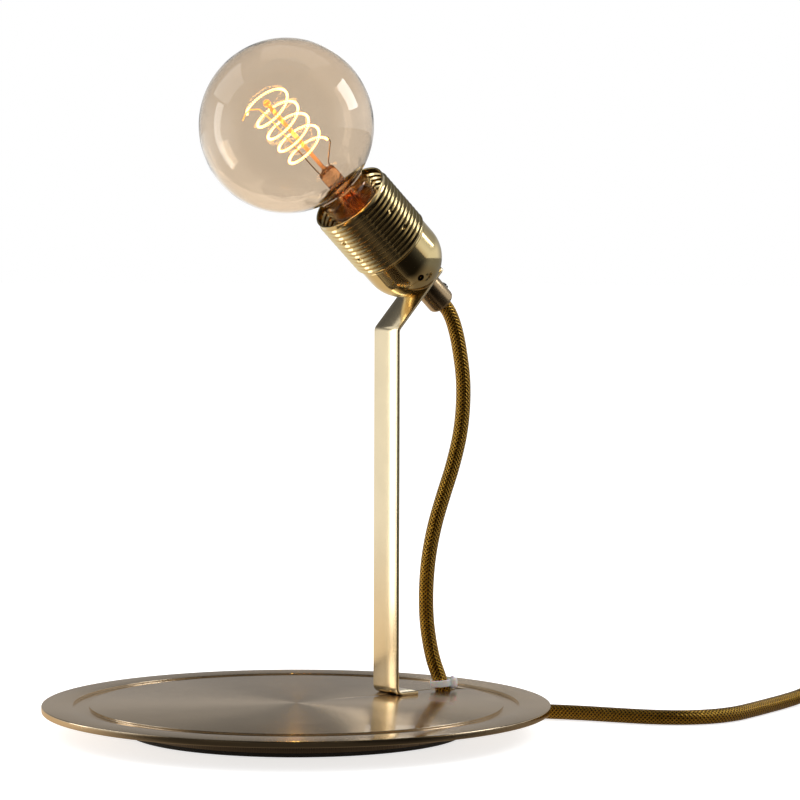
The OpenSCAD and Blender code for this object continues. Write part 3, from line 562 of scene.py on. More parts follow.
def feltMaterial(name, colour):
    c = feltLook
    mat, tree, shader = nodeTree(name)
    fibre = noise(tree, objectPlace(tree), c["fibre"], 5, 0.7)
    setMany(shader, Base_Color=ramp(tree, fibre, [(0.3, darker(colour, c["dark"])), (0.7, colour)]),
            Normal=bump(tree, fibre, c["relief"], c["depth"]), Roughness=0.95, Sheen_Weight=0.3)
    return mat


plateFinish = spunMaterial("spunBrass", (0.71, 0.59, 0.445), (0.76, 0.62, 0.43), 0.2)
stripFinish = brassMaterial("satinStrip", (0.95, 0.80, 0.53), 0.16, 0.03, 0.12, "Z")
holderFinish = brassMaterial("polishedBrass", (0.80, 0.64, 0.33), 0.1, 0.05)
innerFinish = brassMaterial("drawnBrass", (0.80, 0.58, 0.25), 0.25, 0.08)
gripFinish = brassMaterial("satinNickelBrass", (0.47, 0.35, 0.21), 0.22, 0.05, 0.2, "X")
capFinish = brassMaterial("bulbCapBrass", (0.84, 0.66, 0.32), 0.2, 0.05)
steelFinish = brassMaterial("zincSteel", (0.62, 0.61, 0.58), 0.32, 0.08)
brightSteel = brassMaterial("brightSteel", (0.74, 0.73, 0.70), 0.2, 0.04)
weightFinish = brassMaterial("weightSteel", (0.14, 0.11, 0.08), 0.3, 0.08)
wireFinish = brassMaterial("leadWire", (0.30, 0.20, 0.12), 0.4, 0.08)
blackPlastic = plasticMaterial("blackPlastic", (0.018, 0.018, 0.019), 0.42)
rockerPlastic = plasticMaterial("rockerPlastic", (0.03, 0.03, 0.032), 0.3, 0.15)
insulatorFinish = plasticMaterial("blackGlass", (0.01, 0.01, 0.014), 0.12, 0.05)
ceramicFinish = plasticMaterial("glazedCeramic", (0.82, 0.79, 0.72), 0.22, 0.08)
sleeveFinish = plasticMaterial("wireSleeve", (0.20, 0.09, 0.04), 0.5)
nylonFinish = plasticMaterial("milkyNylon", (0.95, 0.89, 0.87), 0.35, 0.1)
setMany(nylonFinish.node_tree.nodes["Principled BSDF"], Subsurface_Weight=0.6, Subsurface_Scale=0.002,
        Transmission_Weight=0.1)
feltFinish = feltMaterial("feltPad", (0.030, 0.028, 0.026))
amberGlass = glassMaterial("amberGlass", (0.785, 0.695, 0.588))
stemGlass = glassMaterial("stemGlass", (0.93, 0.52, 0.27), 0.1, wave=0.8, fine=700)
glow = glowMaterial("filamentGlow", (1.0, 0.52, 0.14), 14.0)
# painted glow from the filament on the stem glass and the lead wires
paintedGlowNear(stemGlass, 0.070, 0.100, 0.55)
paintedGlowNear(wireFinish, 0.088, 0.118, 2.5, (1.0, 0.42, 0.1))

for mat, nodes in (
        (steelFinish, ("weight_screws", "stem_screws", "switch_screws", "terminal_screws", "nipple_nut",
                       "switch_pin")),
        (innerFinish, ("centre_contact", "terminal_blocks", "threaded_nipple", "earth_tag",
                       "switch_terminals", "screw_liner")),
        (brightSteel, ("grip_screw", "cap_contact", "plug_earth_clips", "plug_pins")),
        (holderFinish, ("lampholder_cup", "lampholder_skirt")),
        (blackPlastic, ("coil_tie", "switch_base", "switch_cover", "plug_sleeve", "plug_body")),
        (plateFinish, ("base_plate",)), (weightFinish, ("base_weight",)), (feltFinish, ("base_pad",)),
        (stripFinish, ("stem_strip",)), (gripFinish, ("cord_grip",)), (ceramicFinish, ("ceramic_insert",)),
        (sleeveFinish, ("core_wires",)), (braid, ("cord_end",)), (nylonFinish, ("cord_tie",)),
        (rockerPlastic, ("switch_rocker",)), (capFinish, ("bulb_cap",)), (amberGlass, ("bulb_globe",)),
        (insulatorFinish, ("cap_insulator",)), (stemGlass, ("bulb_stem",)), (wireFinish, ("bulb_wires",)),
        (glow, ("filament",))):
    for node in nodes:
        dress(node, mat)
print("finishes ready")


# base

base = dict(radius=120, low=10.5, top=13.5, edge=0.5, channelOut=105.2, channelIn=97.6, depth=1.2, lip=0.25,
            holeFrom=(3.8, 84, 14.1), holeTo=(5.2, 85.6, 9.9), holeRadius=4.9, padRadius=79.5, padTop=2)


def basePlate(c):
    r, low, top, e, lip = c["radius"], c["low"], c["top"], c["edge"], c["lip"]
    channel = top - c["depth"]
    outline = [(0.0, low), (r, low), (r, top), (c["channelOut"], top), (c["channelOut"], channel),
               (c["channelIn"], channel), (c["channelIn"], top), (0.0, top)]
    outline = roundCorner(outline, [0, e, e, lip, lip, lip, lip, 0])
    obj = finishPiece("basePlate", turned(outline, 256, closed=False), plateFinish, "lamp",
                      ("base_plate",))
    # the cutter reaches well past both faces
    start, end = Vector(c["holeFrom"]), Vector(c["holeTo"])
    ends = [(start + (start - end) * 3) * mm, (end + (end - start) * 2) * mm]
    cutWith(obj, [rodCutter(*ends, c["holeRadius"] * mm, 64)])


def basePad(c):
    outline = [(0.0, 0.0), (c["padRadius"], 0.0), (c["padRadius"], c["padTop"]), (0.0, c["padTop"])]
    outline = roundCorner(outline, [0, 0.5, 0.3, 0])
    finishPiece("feltPad", turned(outline, 160, closed=False), feltFinish, "lamp", ("base_pad",))


basePlate(base)
basePad(base)


# stem: flat strip with two bends

strip = dict(width=19, thick=1.5, face=head["stripY"], foot=13, bendZ=head["bendZ"], flange=40, bend=4,
             tip=2.5, edge=0.28, hole=5.1, floor=13.5, bendSteps=16, longSteps=30, flangeSteps=8)


def stripPath(c):
    # the front face's line in (y, z), from the foot's end to the flange's tip, with its outward direction
    def onBend(middle, angle):
        out = Vector((cos(angle), sin(angle)))
        return middle + c["bend"] * out, out

    along = Vector((cos(slope), sin(slope)))
    lean = pi / 2 - slope
    lowMid = Vector((c["face"] + c["bend"], c["floor"] + c["bend"]))
    highMid = Vector((c["face"] + c["bend"], c["bendZ"] - c["bend"] * tan(lean / 2)))
    line = [(Vector((c["face"] + c["foot"], c["floor"])), Vector((0, -1)))]
    line += [onBend(lowMid, -pi / 2 - k / c["bendSteps"] * pi / 2) for k in range(c["bendSteps"] + 1)]
    line += [(Vector((c["face"], lowMid.y + (highMid.y - lowMid.y) * k / c["longSteps"])), Vector((-1, 0)))
             for k in range(1, c["longSteps"])]
    line += [onBend(highMid, pi - k / c["bendSteps"] * lean) for k in range(c["bendSteps"] + 1)]
    tipAt = Vector((c["face"], c["bendZ"])) + c["flange"] * along
    out = Vector((-along.y, along.x))
    start = line[-1][0]
    straight = (tipAt - start).length
    steps = c["flangeSteps"]
    line += [(start + along * (straight - c["tip"]) * k / steps, out) for k in range(1, steps + 1)]
    line += [(tipAt - along * c["tip"] * (1 - sin(k / steps * pi / 2)), out) for k in range(1, steps + 1)]
    return line, tipAt, along


def stemStrip(c):
    line, tipAt, along = stripPath(c)
    bm = bmesh.new()
    rings = []
    e, f, thick = c["edge"], c["edge"] * 0.3, c["thick"]
    for at, out in line:
        # the flange's corners are round
        reach = max(0.0, c["tip"] - (tipAt - at).dot(along)) if (tipAt - at).length < c["tip"] * 1.01 else 0.0
        w = c["width"] / 2 - (c["tip"] - sqrt(max(0.0, c["tip"] ** 2 - reach ** 2)))
        section = [(-w, -e), (f - w, -f), (e - w, 0), (w - e, 0), (w - f, -f), (w, -e), (w, e - thick),
                   (w - f, f - thick), (w - e, -thick), (e - w, -thick), (f - w, f - thick), (-w, e - thick)]
        rings.append(addRing(bm, [(x, *(at + out * deep)) for x, deep in section]))
    for a, b in zip(rings, rings[1:]):
        joinRings(bm, a, b)
    bm.faces.new(rings[0])
    bm.faces.new(rings[-1])
    obj = finishPiece("stemStrip", bm, stripFinish, "lamp", ("stem_strip",), sharp=40)
    cutWith(obj, [rodCutter(onAxis(2), onAxis(-4), c["hole"] * mm)])


stemStrip(strip)


# lampholder

skirt = dict(low=24.8, length=33.5, radius=19.3, wall=0.6, lead=0.6, ridges=12, pitch=2.55, high=0.8,
             steps=14, around=280, rim=((0, 0.9), (0.25, 0.35), (0.2, 0.1), (-0.05, 0)), innerRim=0.15,
             seamTurn=-26.5, seamWide=0.3, seamDeep=-0.45, dentTurns=(-81, 6, 98, 188),
             dentHeights=(46.8, 35.7), dentRadius=1.3, dentDeep=0.7)
cup = dict(radius=19.2, domeAt=16, domeSteps=24, mouth=24.7, top=28.7, wall=0.8, step=1, lip=0.3, ease=0.1,
           hole=1.7, holeTurn=-25, holeAt=10.4, nippleHole=5.1)
grip = dict(radius=6.8, high=-1.5, low=-17, corner=2, bore=4, nippleBore=5.1, nippleLow=-7.8, screw=2.05,
            screwAt=-12.25)


def sideHole(obj, way, height, near, far, radius):
    # a hole drilled in from the side, square to the holder's axis
    ends = [headPlace @ ((Vector((0, 0, height)) + way * reach) * mm) for reach in (near, far)]
    cutWith(obj, [rodCutter(*ends, radius * mm)])


def arcLength(turn, other, r):
    # the way round a circle between two angles in degrees
    return abs((turn - other + 180) % 360 - 180) * radians(1) * r


def skirtProfile(c):
    r, top = c["radius"], c["low"] + c["length"]
    outer = [(r, c["low"])]
    for i in range(c["ridges"] * c["steps"] + 1):
        lift = c["high"] / 2 * (1 - cos(2 * pi * i / c["steps"]))
        outer.append((r + lift, c["low"] + c["lead"] + c["pitch"] * i / c["steps"]))
    outer += [(r + out, top - down) for out, down in c["rim"]]
    inner = [(r - c["wall"], z) for r, z in reversed(outer[:-3])]
    return outer + [(r - c["wall"], top - c["innerRim"])] + inner


def lampholderSkirt(c):
    bm = turned(skirtProfile(c), c["around"])
    bottom = c["low"] + c["lead"]
    top = bottom + c["ridges"] * c["pitch"]
    for vert in bm.verts:
        r = sqrt(vert.co.x ** 2 + vert.co.y ** 2) / mm
        z = vert.co.z / mm
        turn = math.degrees(math.atan2(vert.co.y, vert.co.x))
        press = 0.0
        if arcLength(turn, c["seamTurn"], r) < c["seamWide"] and bottom < z < top:
            press = c["seamDeep"]  # below zero stands out
        for dentTurn in c["dentTurns"]:
            for height in c["dentHeights"]:
                far = sqrt(arcLength(turn, dentTurn, r) ** 2 + (z - height) ** 2) / c["dentRadius"]
                if far < 1:
                    press = max(press, c["dentDeep"] * (1 - far ** 2))
        if press:
            vert.co.x *= (r - press) / r
            vert.co.y *= (r - press) / r
    finishPiece("lampholderSkirt", bm, holderFinish, "lamp", ("lampholder_skirt",),
                headPlace, 50)


def lampholderCup(c):
    def dome(r, low, at):
        # from the flat bottom up to the straight wall
        start = math.asin(min(1.0, (at - low) / r))
        angles = [start * (1 - k / c["domeSteps"]) for k in range(c["domeSteps"] + 1)]
        return [(r * cos(a), at - r * sin(a)) for a in angles]

    inner = c["radius"] - c["wall"]
    neck = c["radius"] - c["step"]
    outline = [(c["nippleHole"], 0.0)] + dome(c["radius"], 0.0, c["domeAt"])
    outline += [(c["radius"], c["mouth"] - c["lip"]), (c["radius"] - c["lip"], c["mouth"]),
                (neck, c["mouth"]), (neck, c["top"] - c["ease"]), (neck - c["ease"], c["top"]),
                (neck - c["wall"], c["top"]), (neck - c["wall"], c["mouth"] - c["wall"]),
                (inner, c["mouth"] - c["wall"])]
    outline += list(reversed(dome(inner, c["wall"], c["domeAt"]))) + [(c["nippleHole"], c["wall"])]
    obj = finishPiece("lampholderCup", turned(outline, 192), holderFinish, "lamp",
                      ("lampholder_cup",), headPlace, 40)
    turn = radians(c["holeTurn"])
    sideHole(obj, Vector((cos(turn), sin(turn), 0)), c["holeAt"], 10, 22, c["hole"])
    # round the cut the faces keep the dome's own shading
    data = obj.data
    normals = [corner.vector.copy() for corner in data.corner_normals]
    middle = onAxis(c["domeAt"])
    for face in data.polygons:
        out = (face.center - middle).normalized()
        if abs((face.center - middle).length / mm - c["radius"]) < 0.1 and face.normal.dot(out) > 0.97:
            for loop in face.loop_indices:
                spot = data.vertices[data.loops[loop].vertex_index].co
                normals[loop] = (spot - middle).normalized()
    data.normals_split_custom_set(normals)


def cordGrip(c):
    outline = [(c["bore"], c["low"]), (c["radius"], c["low"]), (c["radius"], c["high"]),
               (c["nippleBore"], c["high"]), (c["nippleBore"], c["nippleLow"]), (c["bore"], c["nippleLow"])]
    outline = roundCorner(outline, [0.4, c["corner"], 0.25, 0.2, 0, 0], 6)
    obj = finishPiece("cordGrip", turned(outline, 128), gripFinish, "lamp", ("cord_grip",),
                      headPlace, 40)
    sideHole(obj, Vector((0, 1, 0)), c["screwAt"], 2, 9, c["screw"])


lampholderSkirt(skirt)
lampholderCup(cup)
cordGrip(grip)


# screw shell inside the holder and the bulb's cap

thread = dict(pitch=3.63, high=0.8, steps=16, around=160)
liner = dict(floorRadius=8, low=24.5, length=24, crest=13.2, wall=0.4, ease=0.1, first=28.54, turns=5)
bulbCap = dict(low=32.8, top=54.3, crest=12.9, wall=0.35, mouth=9.6, slant=2, flare=0.4, first=35.8, turns=4)


def threadLine(t, radius, low, turns):
    return [(radius + t["high"] / 2 * (1 - cos(2 * pi * i / t["steps"])), low + t["pitch"] * i / t["steps"])
            for i in range(turns * t["steps"] + 1)]


def otherSide(line, wall):
    # the other face of a wall, from its end back to its start
    return [(r + wall, z) for r, z in reversed(line)]


def screwLiner(c):
    low, top, crest, wall = c["low"], c["low"] + c["length"], c["crest"], c["wall"]
    rings = threadLine(thread, crest, c["first"], c["turns"])
    profile = [(c["floorRadius"], low + wall), (crest, low + wall)] + rings
    profile += [(crest, top - c["ease"]), (crest + c["ease"], top), (crest + wall, top)]
    profile += otherSide(rings, wall) + [(crest + wall, low), (c["floorRadius"], low)]
    finishPiece("screwLiner", turned(profile, thread["around"]), innerFinish, "lamp",
                ("screw_liner",), headPlace, 50)


def bulbScrewCap(c):
    low, top, wall = c["low"], c["top"], c["wall"]
    valley = c["crest"] - thread["high"]
    rings = threadLine(thread, valley, c["first"], c["turns"])
    profile = [(c["mouth"] - wall, low), (c["mouth"], low), (valley, low + c["slant"])] + rings
    profile += [(valley + c["flare"], top - 0.05), (valley + c["flare"] - 0.05, top),
                (valley + c["flare"] - wall, top)]
    profile += otherSide(rings, -wall) + [(valley - wall, low + c["slant"] + 0.2)]
    finishPiece("bulbCap", turned(profile, thread["around"]), capFinish, "bulb", ("bulb_cap",),
                headPlace, 50)


screwLiner(liner)
bulbScrewCap(bulbCap)


# glass bulb

globe = dict(radius=40.9, centre=107.559, wall=0.8, neck=13, fillet=9, seat=11.4, seatLow=48.3, seatTop=54.3,
             globeSteps=90, filletSteps=16, around=192)
glassStem = dict(foot=10.5, footAt=48.3, footSteps=12, waist=4.2, waistAt=63.3, shoulder=3.5, shoulderSteps=8,
                 pinch=(9, 4.4, 14), square=3.6, rod=1, rodTop=122.56, rodSteps=6, bead=1.8, turn=64,
                 around=48, hollow=((3, 63.3), (3.3, 59.3), (6.6, 53.3), (9.5, 48.3)),
                 pinchTop=((-4, 1, 1, 3.6), (-1.2, 0.97, 0.96, 3.4), (-0.4, 0.86, 0.84, 3),
                           (0, 0.62, 0.66, 2.4)))
spiral = dict(radius=10.2, low=88.11, pitch=8.2, turns=4.5, turn=64, wire=0.16, fine=0.45, finePitch=1.3,
              steps=10)


def glassLine(c, inset):
    # sphere, fillet and neck, from the top down
    out = c["neck"] + c["fillet"]
    rise = sqrt((c["radius"] + c["fillet"]) ** 2 - out ** 2)
    r, f = c["radius"] - inset, c["fillet"] + inset
    last = math.atan2(-rise, out)
    angles = [pi / 2 + (last - pi / 2) * k / c["globeSteps"] for k in range(c["globeSteps"] + 1)]
    line = [(r * cos(a), c["centre"] + r * sin(a)) for a in angles]
    line[0] = (0.0, c["centre"] + r)
    first = math.atan2(rise, -out)
    angles = [first + (pi - first) * k / c["filletSteps"] for k in range(1, c["filletSteps"] + 1)]
    return line + [(out + f * cos(a), c["centre"] - rise + f * sin(a)) for a in angles]


def bulbGlobe(c):
    low, top, w = c["seatLow"], c["seatTop"], c["wall"]
    outer = glassLine(c, 0)
    outer += [(c["neck"], top + 0.6), (c["neck"] - 0.5, top + 0.05), (c["seat"], top), (c["seat"], low)]
    inner = [(c["seat"] - w, low), (c["seat"] - w, top + w), (c["neck"] - w - 0.4, top + w + 0.1),
             (c["neck"] - w, top + w + 0.6)] + list(reversed(glassLine(c, w)))
    return finishPiece("bulbGlobe", turned(outer + inner, c["around"], closed=False), amberGlass, "bulb",
                       ("bulb_globe",), headPlace, 60)


def stemLevels(c):
    # (height, half width, half depth, squareness) of flare, shoulder, pinch, rod and bead
    wide, deep = c["pinch"][0] / 2, c["pinch"][1] / 2
    top, waist, rod = c["waistAt"] + c["pinch"][2], c["waist"], c["rod"]
    levels = []
    for k in range(c["footSteps"] + 1):
        t = k / c["footSteps"]
        r = c["foot"] + (waist - c["foot"]) * (1 - (1 - t) ** 2)
        levels.append((c["footAt"] + (c["waistAt"] - c["footAt"]) * t, r, r, 2.0))
    for k in range(1, c["shoulderSteps"] + 1):
        t = smoothStep(k / c["shoulderSteps"])
        levels.append((c["waistAt"] + c["shoulder"] * k / c["shoulderSteps"], waist + (wide - waist) * t,
                       waist + (deep - waist) * t, 2 + (c["square"] - 2) * t))
    levels += [(top + z, wide * a, deep * b, power) for z, a, b, power in c["pinchTop"]]
    levels += [(top + 0.5, rod * 1.5, rod * 1.5, 2), (top + 1.6, rod, rod, 2)]
    rodTop, steps = c["rodTop"] - 1.5, c["rodSteps"]
    levels += [(top + 1.6 + (rodTop - top - 1.6) * k / steps, rod, rod, 2) for k in range(1, steps + 1)]
    return levels + [(c["rodTop"] + c["bead"] * sin(a), c["bead"] * cos(a), c["bead"] * cos(a), 2)
                     for a in (radians(-56 + 14.2 * k) for k in range(10))]


def bulbStem(c):
    # one glass body, hollow below the waist
    angles = [2 * pi * k / c["around"] for k in range(c["around"])]

    def roundedRing(z, a, b, power):
        # an ellipse at a power of 2, squarer above it
        return [(a * math.copysign(abs(cos(t)) ** (2 / power), cos(t)),
                 b * math.copysign(abs(sin(t)) ** (2 / power), sin(t)), z) for t in angles]

    bm = bmesh.new()
    outer = [addRing(bm, roundedRing(*level)) for level in stemLevels(c)]
    inner = [addRing(bm, [(r * cos(t), r * sin(t), z) for t in angles]) for r, z in c["hollow"]]
    for a, b in [*zip(outer, outer[1:]), *zip(inner, inner[1:]), (inner[-1], outer[0])]:
        joinRings(bm, a, b)
    bm.faces.new(outer[-1])
    bm.faces.new(inner[0])
    place = headPlace @ Matrix.Rotation(radians(c["turn"]), 4, "Z")
    return finishPiece("glassStem", bm, stemGlass, "bulb", ("bulb_stem",), place, 60)


def filamentPath(c):
    # a fine spiral wound round the big one
    length = c["turns"] * 2 * pi * c["radius"]
    count = round(length / c["finePitch"]) * c["steps"]
    path = []
    for i in range(count + 1):
        t = i / count
        a = radians(c["turn"]) + 2 * pi * c["turns"] * t
        b = 2 * pi * i / c["steps"]
        r = c["radius"] + c["fine"] * cos(b)
        z = c["low"] + c["pitch"] * c["turns"] * t + c["fine"] * sin(b)
        path.append(headPlace @ (Vector((r * cos(a), r * sin(a), z)) * mm))
    return path


bulbGlobe(globe).visible_shadow = False
bulbStem(glassStem).visible_shadow = False
tubeAlong("glowingFilament", filamentPath(spiral), spiral["wire"] * mm, glow, "bulb",
          ("filament",), sides=1)
print("lamp pieces ready")


# small pieces on the cord

tie = dict(place=(3.3, 83.4, 16.8), lean=5, heading=49, radius=4.1, wall=1.25, band=3.3, edge=0.45, around=96,
           head=(3.8, 5.2, 5), round=1.5, tail=(1.5, 2.4, 1.6), tailRound=0.4)
coilTie = dict(turn=105, width=9, thick=0.4, wide=18.925, high=31.2, low=0.4, outerRound=3.2, innerRound=2.8,
               slack=0.5)
plug = dict(sleeve=24, sleeveLow=4.6, sleeveHigh=6.5, bore=3.75, radius=18.5, length=34, pin=2.4, pinGap=19,
            ribs=5, ribSteps=12, groove=0.45, sleeveAround=64, bodyAround=128)

plugPlace = (Matrix.Translation(Vector((plugStart.x, plugStart.y, plug["radius"] * mm)))
             @ Matrix.Rotation(math.atan2(plugWay.y, plugWay.x), 4, "Z") @ Matrix.Rotation(pi / 2, 4, "Y"))


def roundedBox(size, radius, place):
    # a box with rounded edges; place is its middle
    bm = bmesh.new()
    bmesh.ops.create_cube(bm, size=1, matrix=Matrix.Diagonal((size[0] * mm, size[1] * mm, size[2] * mm, 1)))
    bmesh.ops.bevel(bm, geom=list(bm.edges), offset=radius * mm, segments=4, profile=0.5, affect="EDGES",
                    material=-1)
    bmesh.ops.transform(bm, matrix=Matrix.Translation(Vector(place) * mm), verts=bm.verts)
    return bm


def joined(parts):
    # several closed shapes in one mesh
    whole = bmesh.new()
    for part in parts:
        data = bpy.data.meshes.new("part")
        part.to_mesh(data)
        part.free()
        whole.from_mesh(data)
        bpy.data.meshes.remove(data)
    return whole


def cordTie(c):
    # a band round the cord, its square head and the cut tail above the head
    r, w, b = c["radius"], c["wall"], c["band"] / 2
    band = turned(roundCorner([(r, -b), (r + w, -b), (r + w, b), (r, b)], c["edge"]), c["around"])
    headBox = roundedBox(c["head"], c["round"], (r + c["head"][0] / 2, 0, b + 0.6 - c["head"][2] / 2))
    tail = roundedBox(c["tail"], c["tailRound"], (r + 1.5, 0, b + 0.4 + c["tail"][2] / 2 - 0.6))
    place = (Matrix.Translation(Vector(c["place"]) * mm) @ Matrix.Rotation(radians(c["heading"]), 4, "Z")
             @ Matrix.Rotation(radians(-c["lean"]), 4, "Y"))
    return finishPiece("cordTie", joined([band, headBox, tail]), nylonFinish, "lamp",
                       ("cord_tie",), place)


def coilTieBand(c):
    # flat band with rounded corners round the coil's four layers
    w, h, t = c["wide"], c["high"], c["thick"]
    outer = roundCorner([(-t, -t), (w + t, -t), (w + t, h + t), (-t, h + t)], c["outerRound"], 8)
    inner = roundCorner([(0, 0), (w, 0), (w, h), (0, h)], c["innerRound"], 8)
    bm = bmesh.new()
    (outA, inA), (outB, inB) = [[addRing(bm, [(x, y, z) for x, z in line]) for line in (outer, inner)]
                                for y in (c["width"] / 2, -c["width"] / 2)]
    for a, b in ((outA, outB), (inA, inB), (outA, inA), (outB, inB)):
        joinRings(bm, a, b)
    side = cord["coilRadius"] + cord["diameter"] / 2 + c["slack"] - w
    place = (Matrix.Translation(Vector((coilCentre.x, coilCentre.y, 0)))
             @ Matrix.Rotation(radians(c["turn"]), 4, "Z")
             @ Matrix.Translation(Vector((side, 0, c["low"])) * mm))
    return finishPiece("coilTie", bm, blackPlastic, "lamp", ("coil_tie",), place)


def plugSleeve(c):
    # ribbed, tapering strain relief
    steps = c["ribs"] * c["ribSteps"]
    profile = []
    for k in range(steps + 1):
        z = c["sleeve"] * k / steps
        r = c["sleeveLow"] + (c["sleeveHigh"] - c["sleeveLow"]) * z / c["sleeve"]
        groove = c["groove"] * max(0.0, cos(2 * pi * k / c["ribSteps"])) ** 4 if 0 < k < steps else 0
        profile.append((r - groove, z))
    profile += [(c["bore"], c["sleeve"]), (c["bore"], 0.0)]
    return finishPiece("plugSleeve", turned(profile, c["sleeveAround"]), blackPlastic, "lamp",
                       ("plug_sleeve",), plugPlace, 50)


def plugBody(c):
    s, r, end = c["sleeve"], c["radius"], c["sleeve"] + c["length"]
    outline = [(0.0, s), (8, s), (10, s + 4), (r - 1.5, s + 13), (r, s + 15), (r, end), (0.0, end)]
    outline = roundCorner(outline, [0, 0.8, 3, 1.4, 0.8, 1.0, 0], 5)
    obj = finishPiece("plugBody", turned(outline, c["bodyAround"], closed=False), blackPlastic, "lamp",
                      ("plug_body",), plugPlace, 40)
    cutters = []
    for side in (-1, 1):
        ends = [plugPlace @ (Vector((0, side * c["pinGap"] / 2, end + z)) * mm) for z in (-9, 1)]
        cutters.append(rodCutter(*ends, (c["pin"] + 0.1) * mm, 32))
    cutWith(obj, cutters)
    return obj


cordTiePiece = cordTie(tie)
coilTiePiece = coilTieBand(coilTie)
sleevePiece = plugSleeve(plug)
plugPiece = plugBody(plug)


# cord switch

switch = dict(length=cord["switchLength"], width=28, high=20, split=7, joint=0.12, ends=14, taper=12,
              corner=3, mouth=3.8, seat=8, wall=1.6, opening=20.9, gap=0.5)
rocker = dict(half=9.5, across=11, middle=3.4, dish=1.6, side=0.6, foot=(3.5, 3.6), edge=0.45, tilt=7,
              pivot=17)


def outlineIn(points, inset):
    # moves a convex outline inwards
    moved = []
    for i, p in enumerate(points):
        a, b = Vector(points[i - 1]), Vector(points[(i + 1) % len(points)])
        side = (b - a).normalized()
        moved.append(Vector(p) + Vector((side.y, -side.x)) * inset)
    return moved


def block(points, levels):
    # a closed body from one outline, a ring for each (height, inset)
    bm = bmesh.new()
    rings = [addRing(bm, [(*p, z) for p in outlineIn(points, inset)]) for z, inset in levels]
    for a, b in zip(rings, rings[1:]):
        joinRings(bm, a, b)
    bm.faces.new(rings[0])
    bm.faces.new(rings[-1])
    return bm


def edgeLevels(low, high, lowRound, highRound):
    # (height, inset) up a wall whose bottom and top edges are rounded
    angles = [radians(15 * k) for k in range(7)]
    rise = [(low + lowRound * (1 - cos(a)), lowRound * (1 - sin(a))) for a in angles]
    fall = [(high - highRound * (1 - cos(a)), highRound * (1 - sin(a))) for a in reversed(angles)]
    return rise + fall


def switchHalf(c, name, node, low, high, rounds, hollow):
    n, w, e, t = c["length"], c["width"] / 2, c["ends"] / 2, c["taper"]
    plan = roundCorner([(0, e), (t, w), (n - t, w), (n, e), (n, -e), (n - t, -w), (t, -w), (0, -e)],
                       c["corner"], 6)
    obj = finishPiece(name, block(plan, edgeLevels(low, high, *rounds)), blackPlastic, "lamp",
                      (node,), switchPlace, 50)
    inside, side = c["seat"] + 3, w - c["wall"] - 1
    cutters = [boxCutter((inside, -side, hollow[0]), (n - inside, side, hollow[1]), switchPlace)]
    for x in (-1, n - c["seat"]):
        ends = [switchPoint(at, c["split"]) for at in (x, x + c["seat"] + 1)]
        cutters.append(rodCutter(*ends, c["mouth"] * mm))
    if name == "switchCover":
        half, reach = rocker["across"] / 2 + c["gap"], c["opening"] / 2
        cutters.append(boxCutter((n / 2 - reach, -half, c["split"] - 1), (n / 2 + reach, half, 30),
                                 switchPlace))
    cutWith(obj, cutters)
    return obj


def switchRocker(c):
    # dished top, rounded edges
    half, across = c["half"], c["across"]
    foot, deep = c["foot"]
    side = [(half * k / 8, c["middle"] + c["dish"] * (k / 8) ** 2) for k in range(8, -9, -1)]
    side += [(-half, -c["side"]), (-foot, -deep), (foot, -deep), (half, -c["side"])]
    bm = bmesh.new()
    face = bm.faces.new(addRing(bm, [(x, -across / 2, z) for x, z in side]))
    grown = bmesh.ops.extrude_face_region(bm, geom=[face])["geom"]
    lifted = [v for v in grown if isinstance(v, bmesh.types.BMVert)]
    bmesh.ops.translate(bm, vec=(0, across * mm, 0), verts=lifted)
    bmesh.ops.recalc_face_normals(bm, faces=bm.faces)
    edges = [e for e in bm.edges if len(e.link_faces) == 2 and e.calc_face_angle(0) > radians(30)]
    bmesh.ops.bevel(bm, geom=edges, offset=c["edge"] * mm, segments=3, profile=0.5, affect="EDGES",
                    material=-1)
    place = (switchPlace @ Matrix.Translation(Vector((switch["length"] / 2, 0, c["pivot"])) * mm)
             @ Matrix.Rotation(radians(c["tilt"]), 4, "Y"))
    finishPiece("switchRocker", bm, rockerPlastic, "rocker", ("switch_rocker",), place, 30)


switchParts = [switchHalf(switch, "switchBase", "switch_base", 0, switch["split"] - switch["joint"],
                          (1.0, 0.25), (switch["wall"], switch["split"] + 1)),
               switchHalf(switch, "switchCover", "switch_cover", switch["split"] + switch["joint"],
                          switch["high"], (0.25, 2.2), (0, switch["high"] - switch["wall"]))]
switchRocker(rocker)
print("cord pieces ready")


# room: white table and background, soft light from both sides, dark behind the camera

room = dict(diffuse=0.68, bright=0.95, high=0.14, highReach=(0.14, 0.5), leftLower=0.1, leftReach=(0.0, 0.8),
            back=0.44, backEdge=0.92, backReach=(-0.9, -0.45), front=(0.12, 0.6), dark=0.02, patch=0.16,
            patchReach=(0.45, 0.75), patchScale=2.6, warm=(1, 0.8, 0.56), warmReach=(0.1, 0.5))
table = dict(radius=9, drop=0.0002, white=0.8, seen=0.72, through=0.6, gloss=0.88, near=(0.86, 0.70, 0.52),
             nearReach=(0.15, 1.1), front=0.05, frontReach=(-0.05, 0.6), right=0.25, rightReach=(0.02, 0.17))
filamentLight = dict(height=100, size=0.001, power=0.3, colour=(1.0, 0.6, 0.16))
softboxes = [
    dict(name="leftTallBox", place=(-0.36, 0.05, 0.205), size=(0.085, 0.40), brightness=2.0),
    dict(name="leftWideBox", place=(-0.80, 0.25, 0.85), size=(0.70, 0.50), brightness=0.7),
    dict(name="rightBox", place=(0.92, 0.21, 0.75), size=(0.40, 0.45), brightness=5.0),
    dict(name="topBox", place=(0.1, 0.35, 1.2), size=(0.9, 0.6), brightness=0.9, unseenBy="visible_glossy"),
    dict(name="streakBox", place=(0.11, 1.15, 0.46), size=(0.09, 0.26), brightness=1.3, aimAt=0.01,
         unseenBy="visible_transmission")]


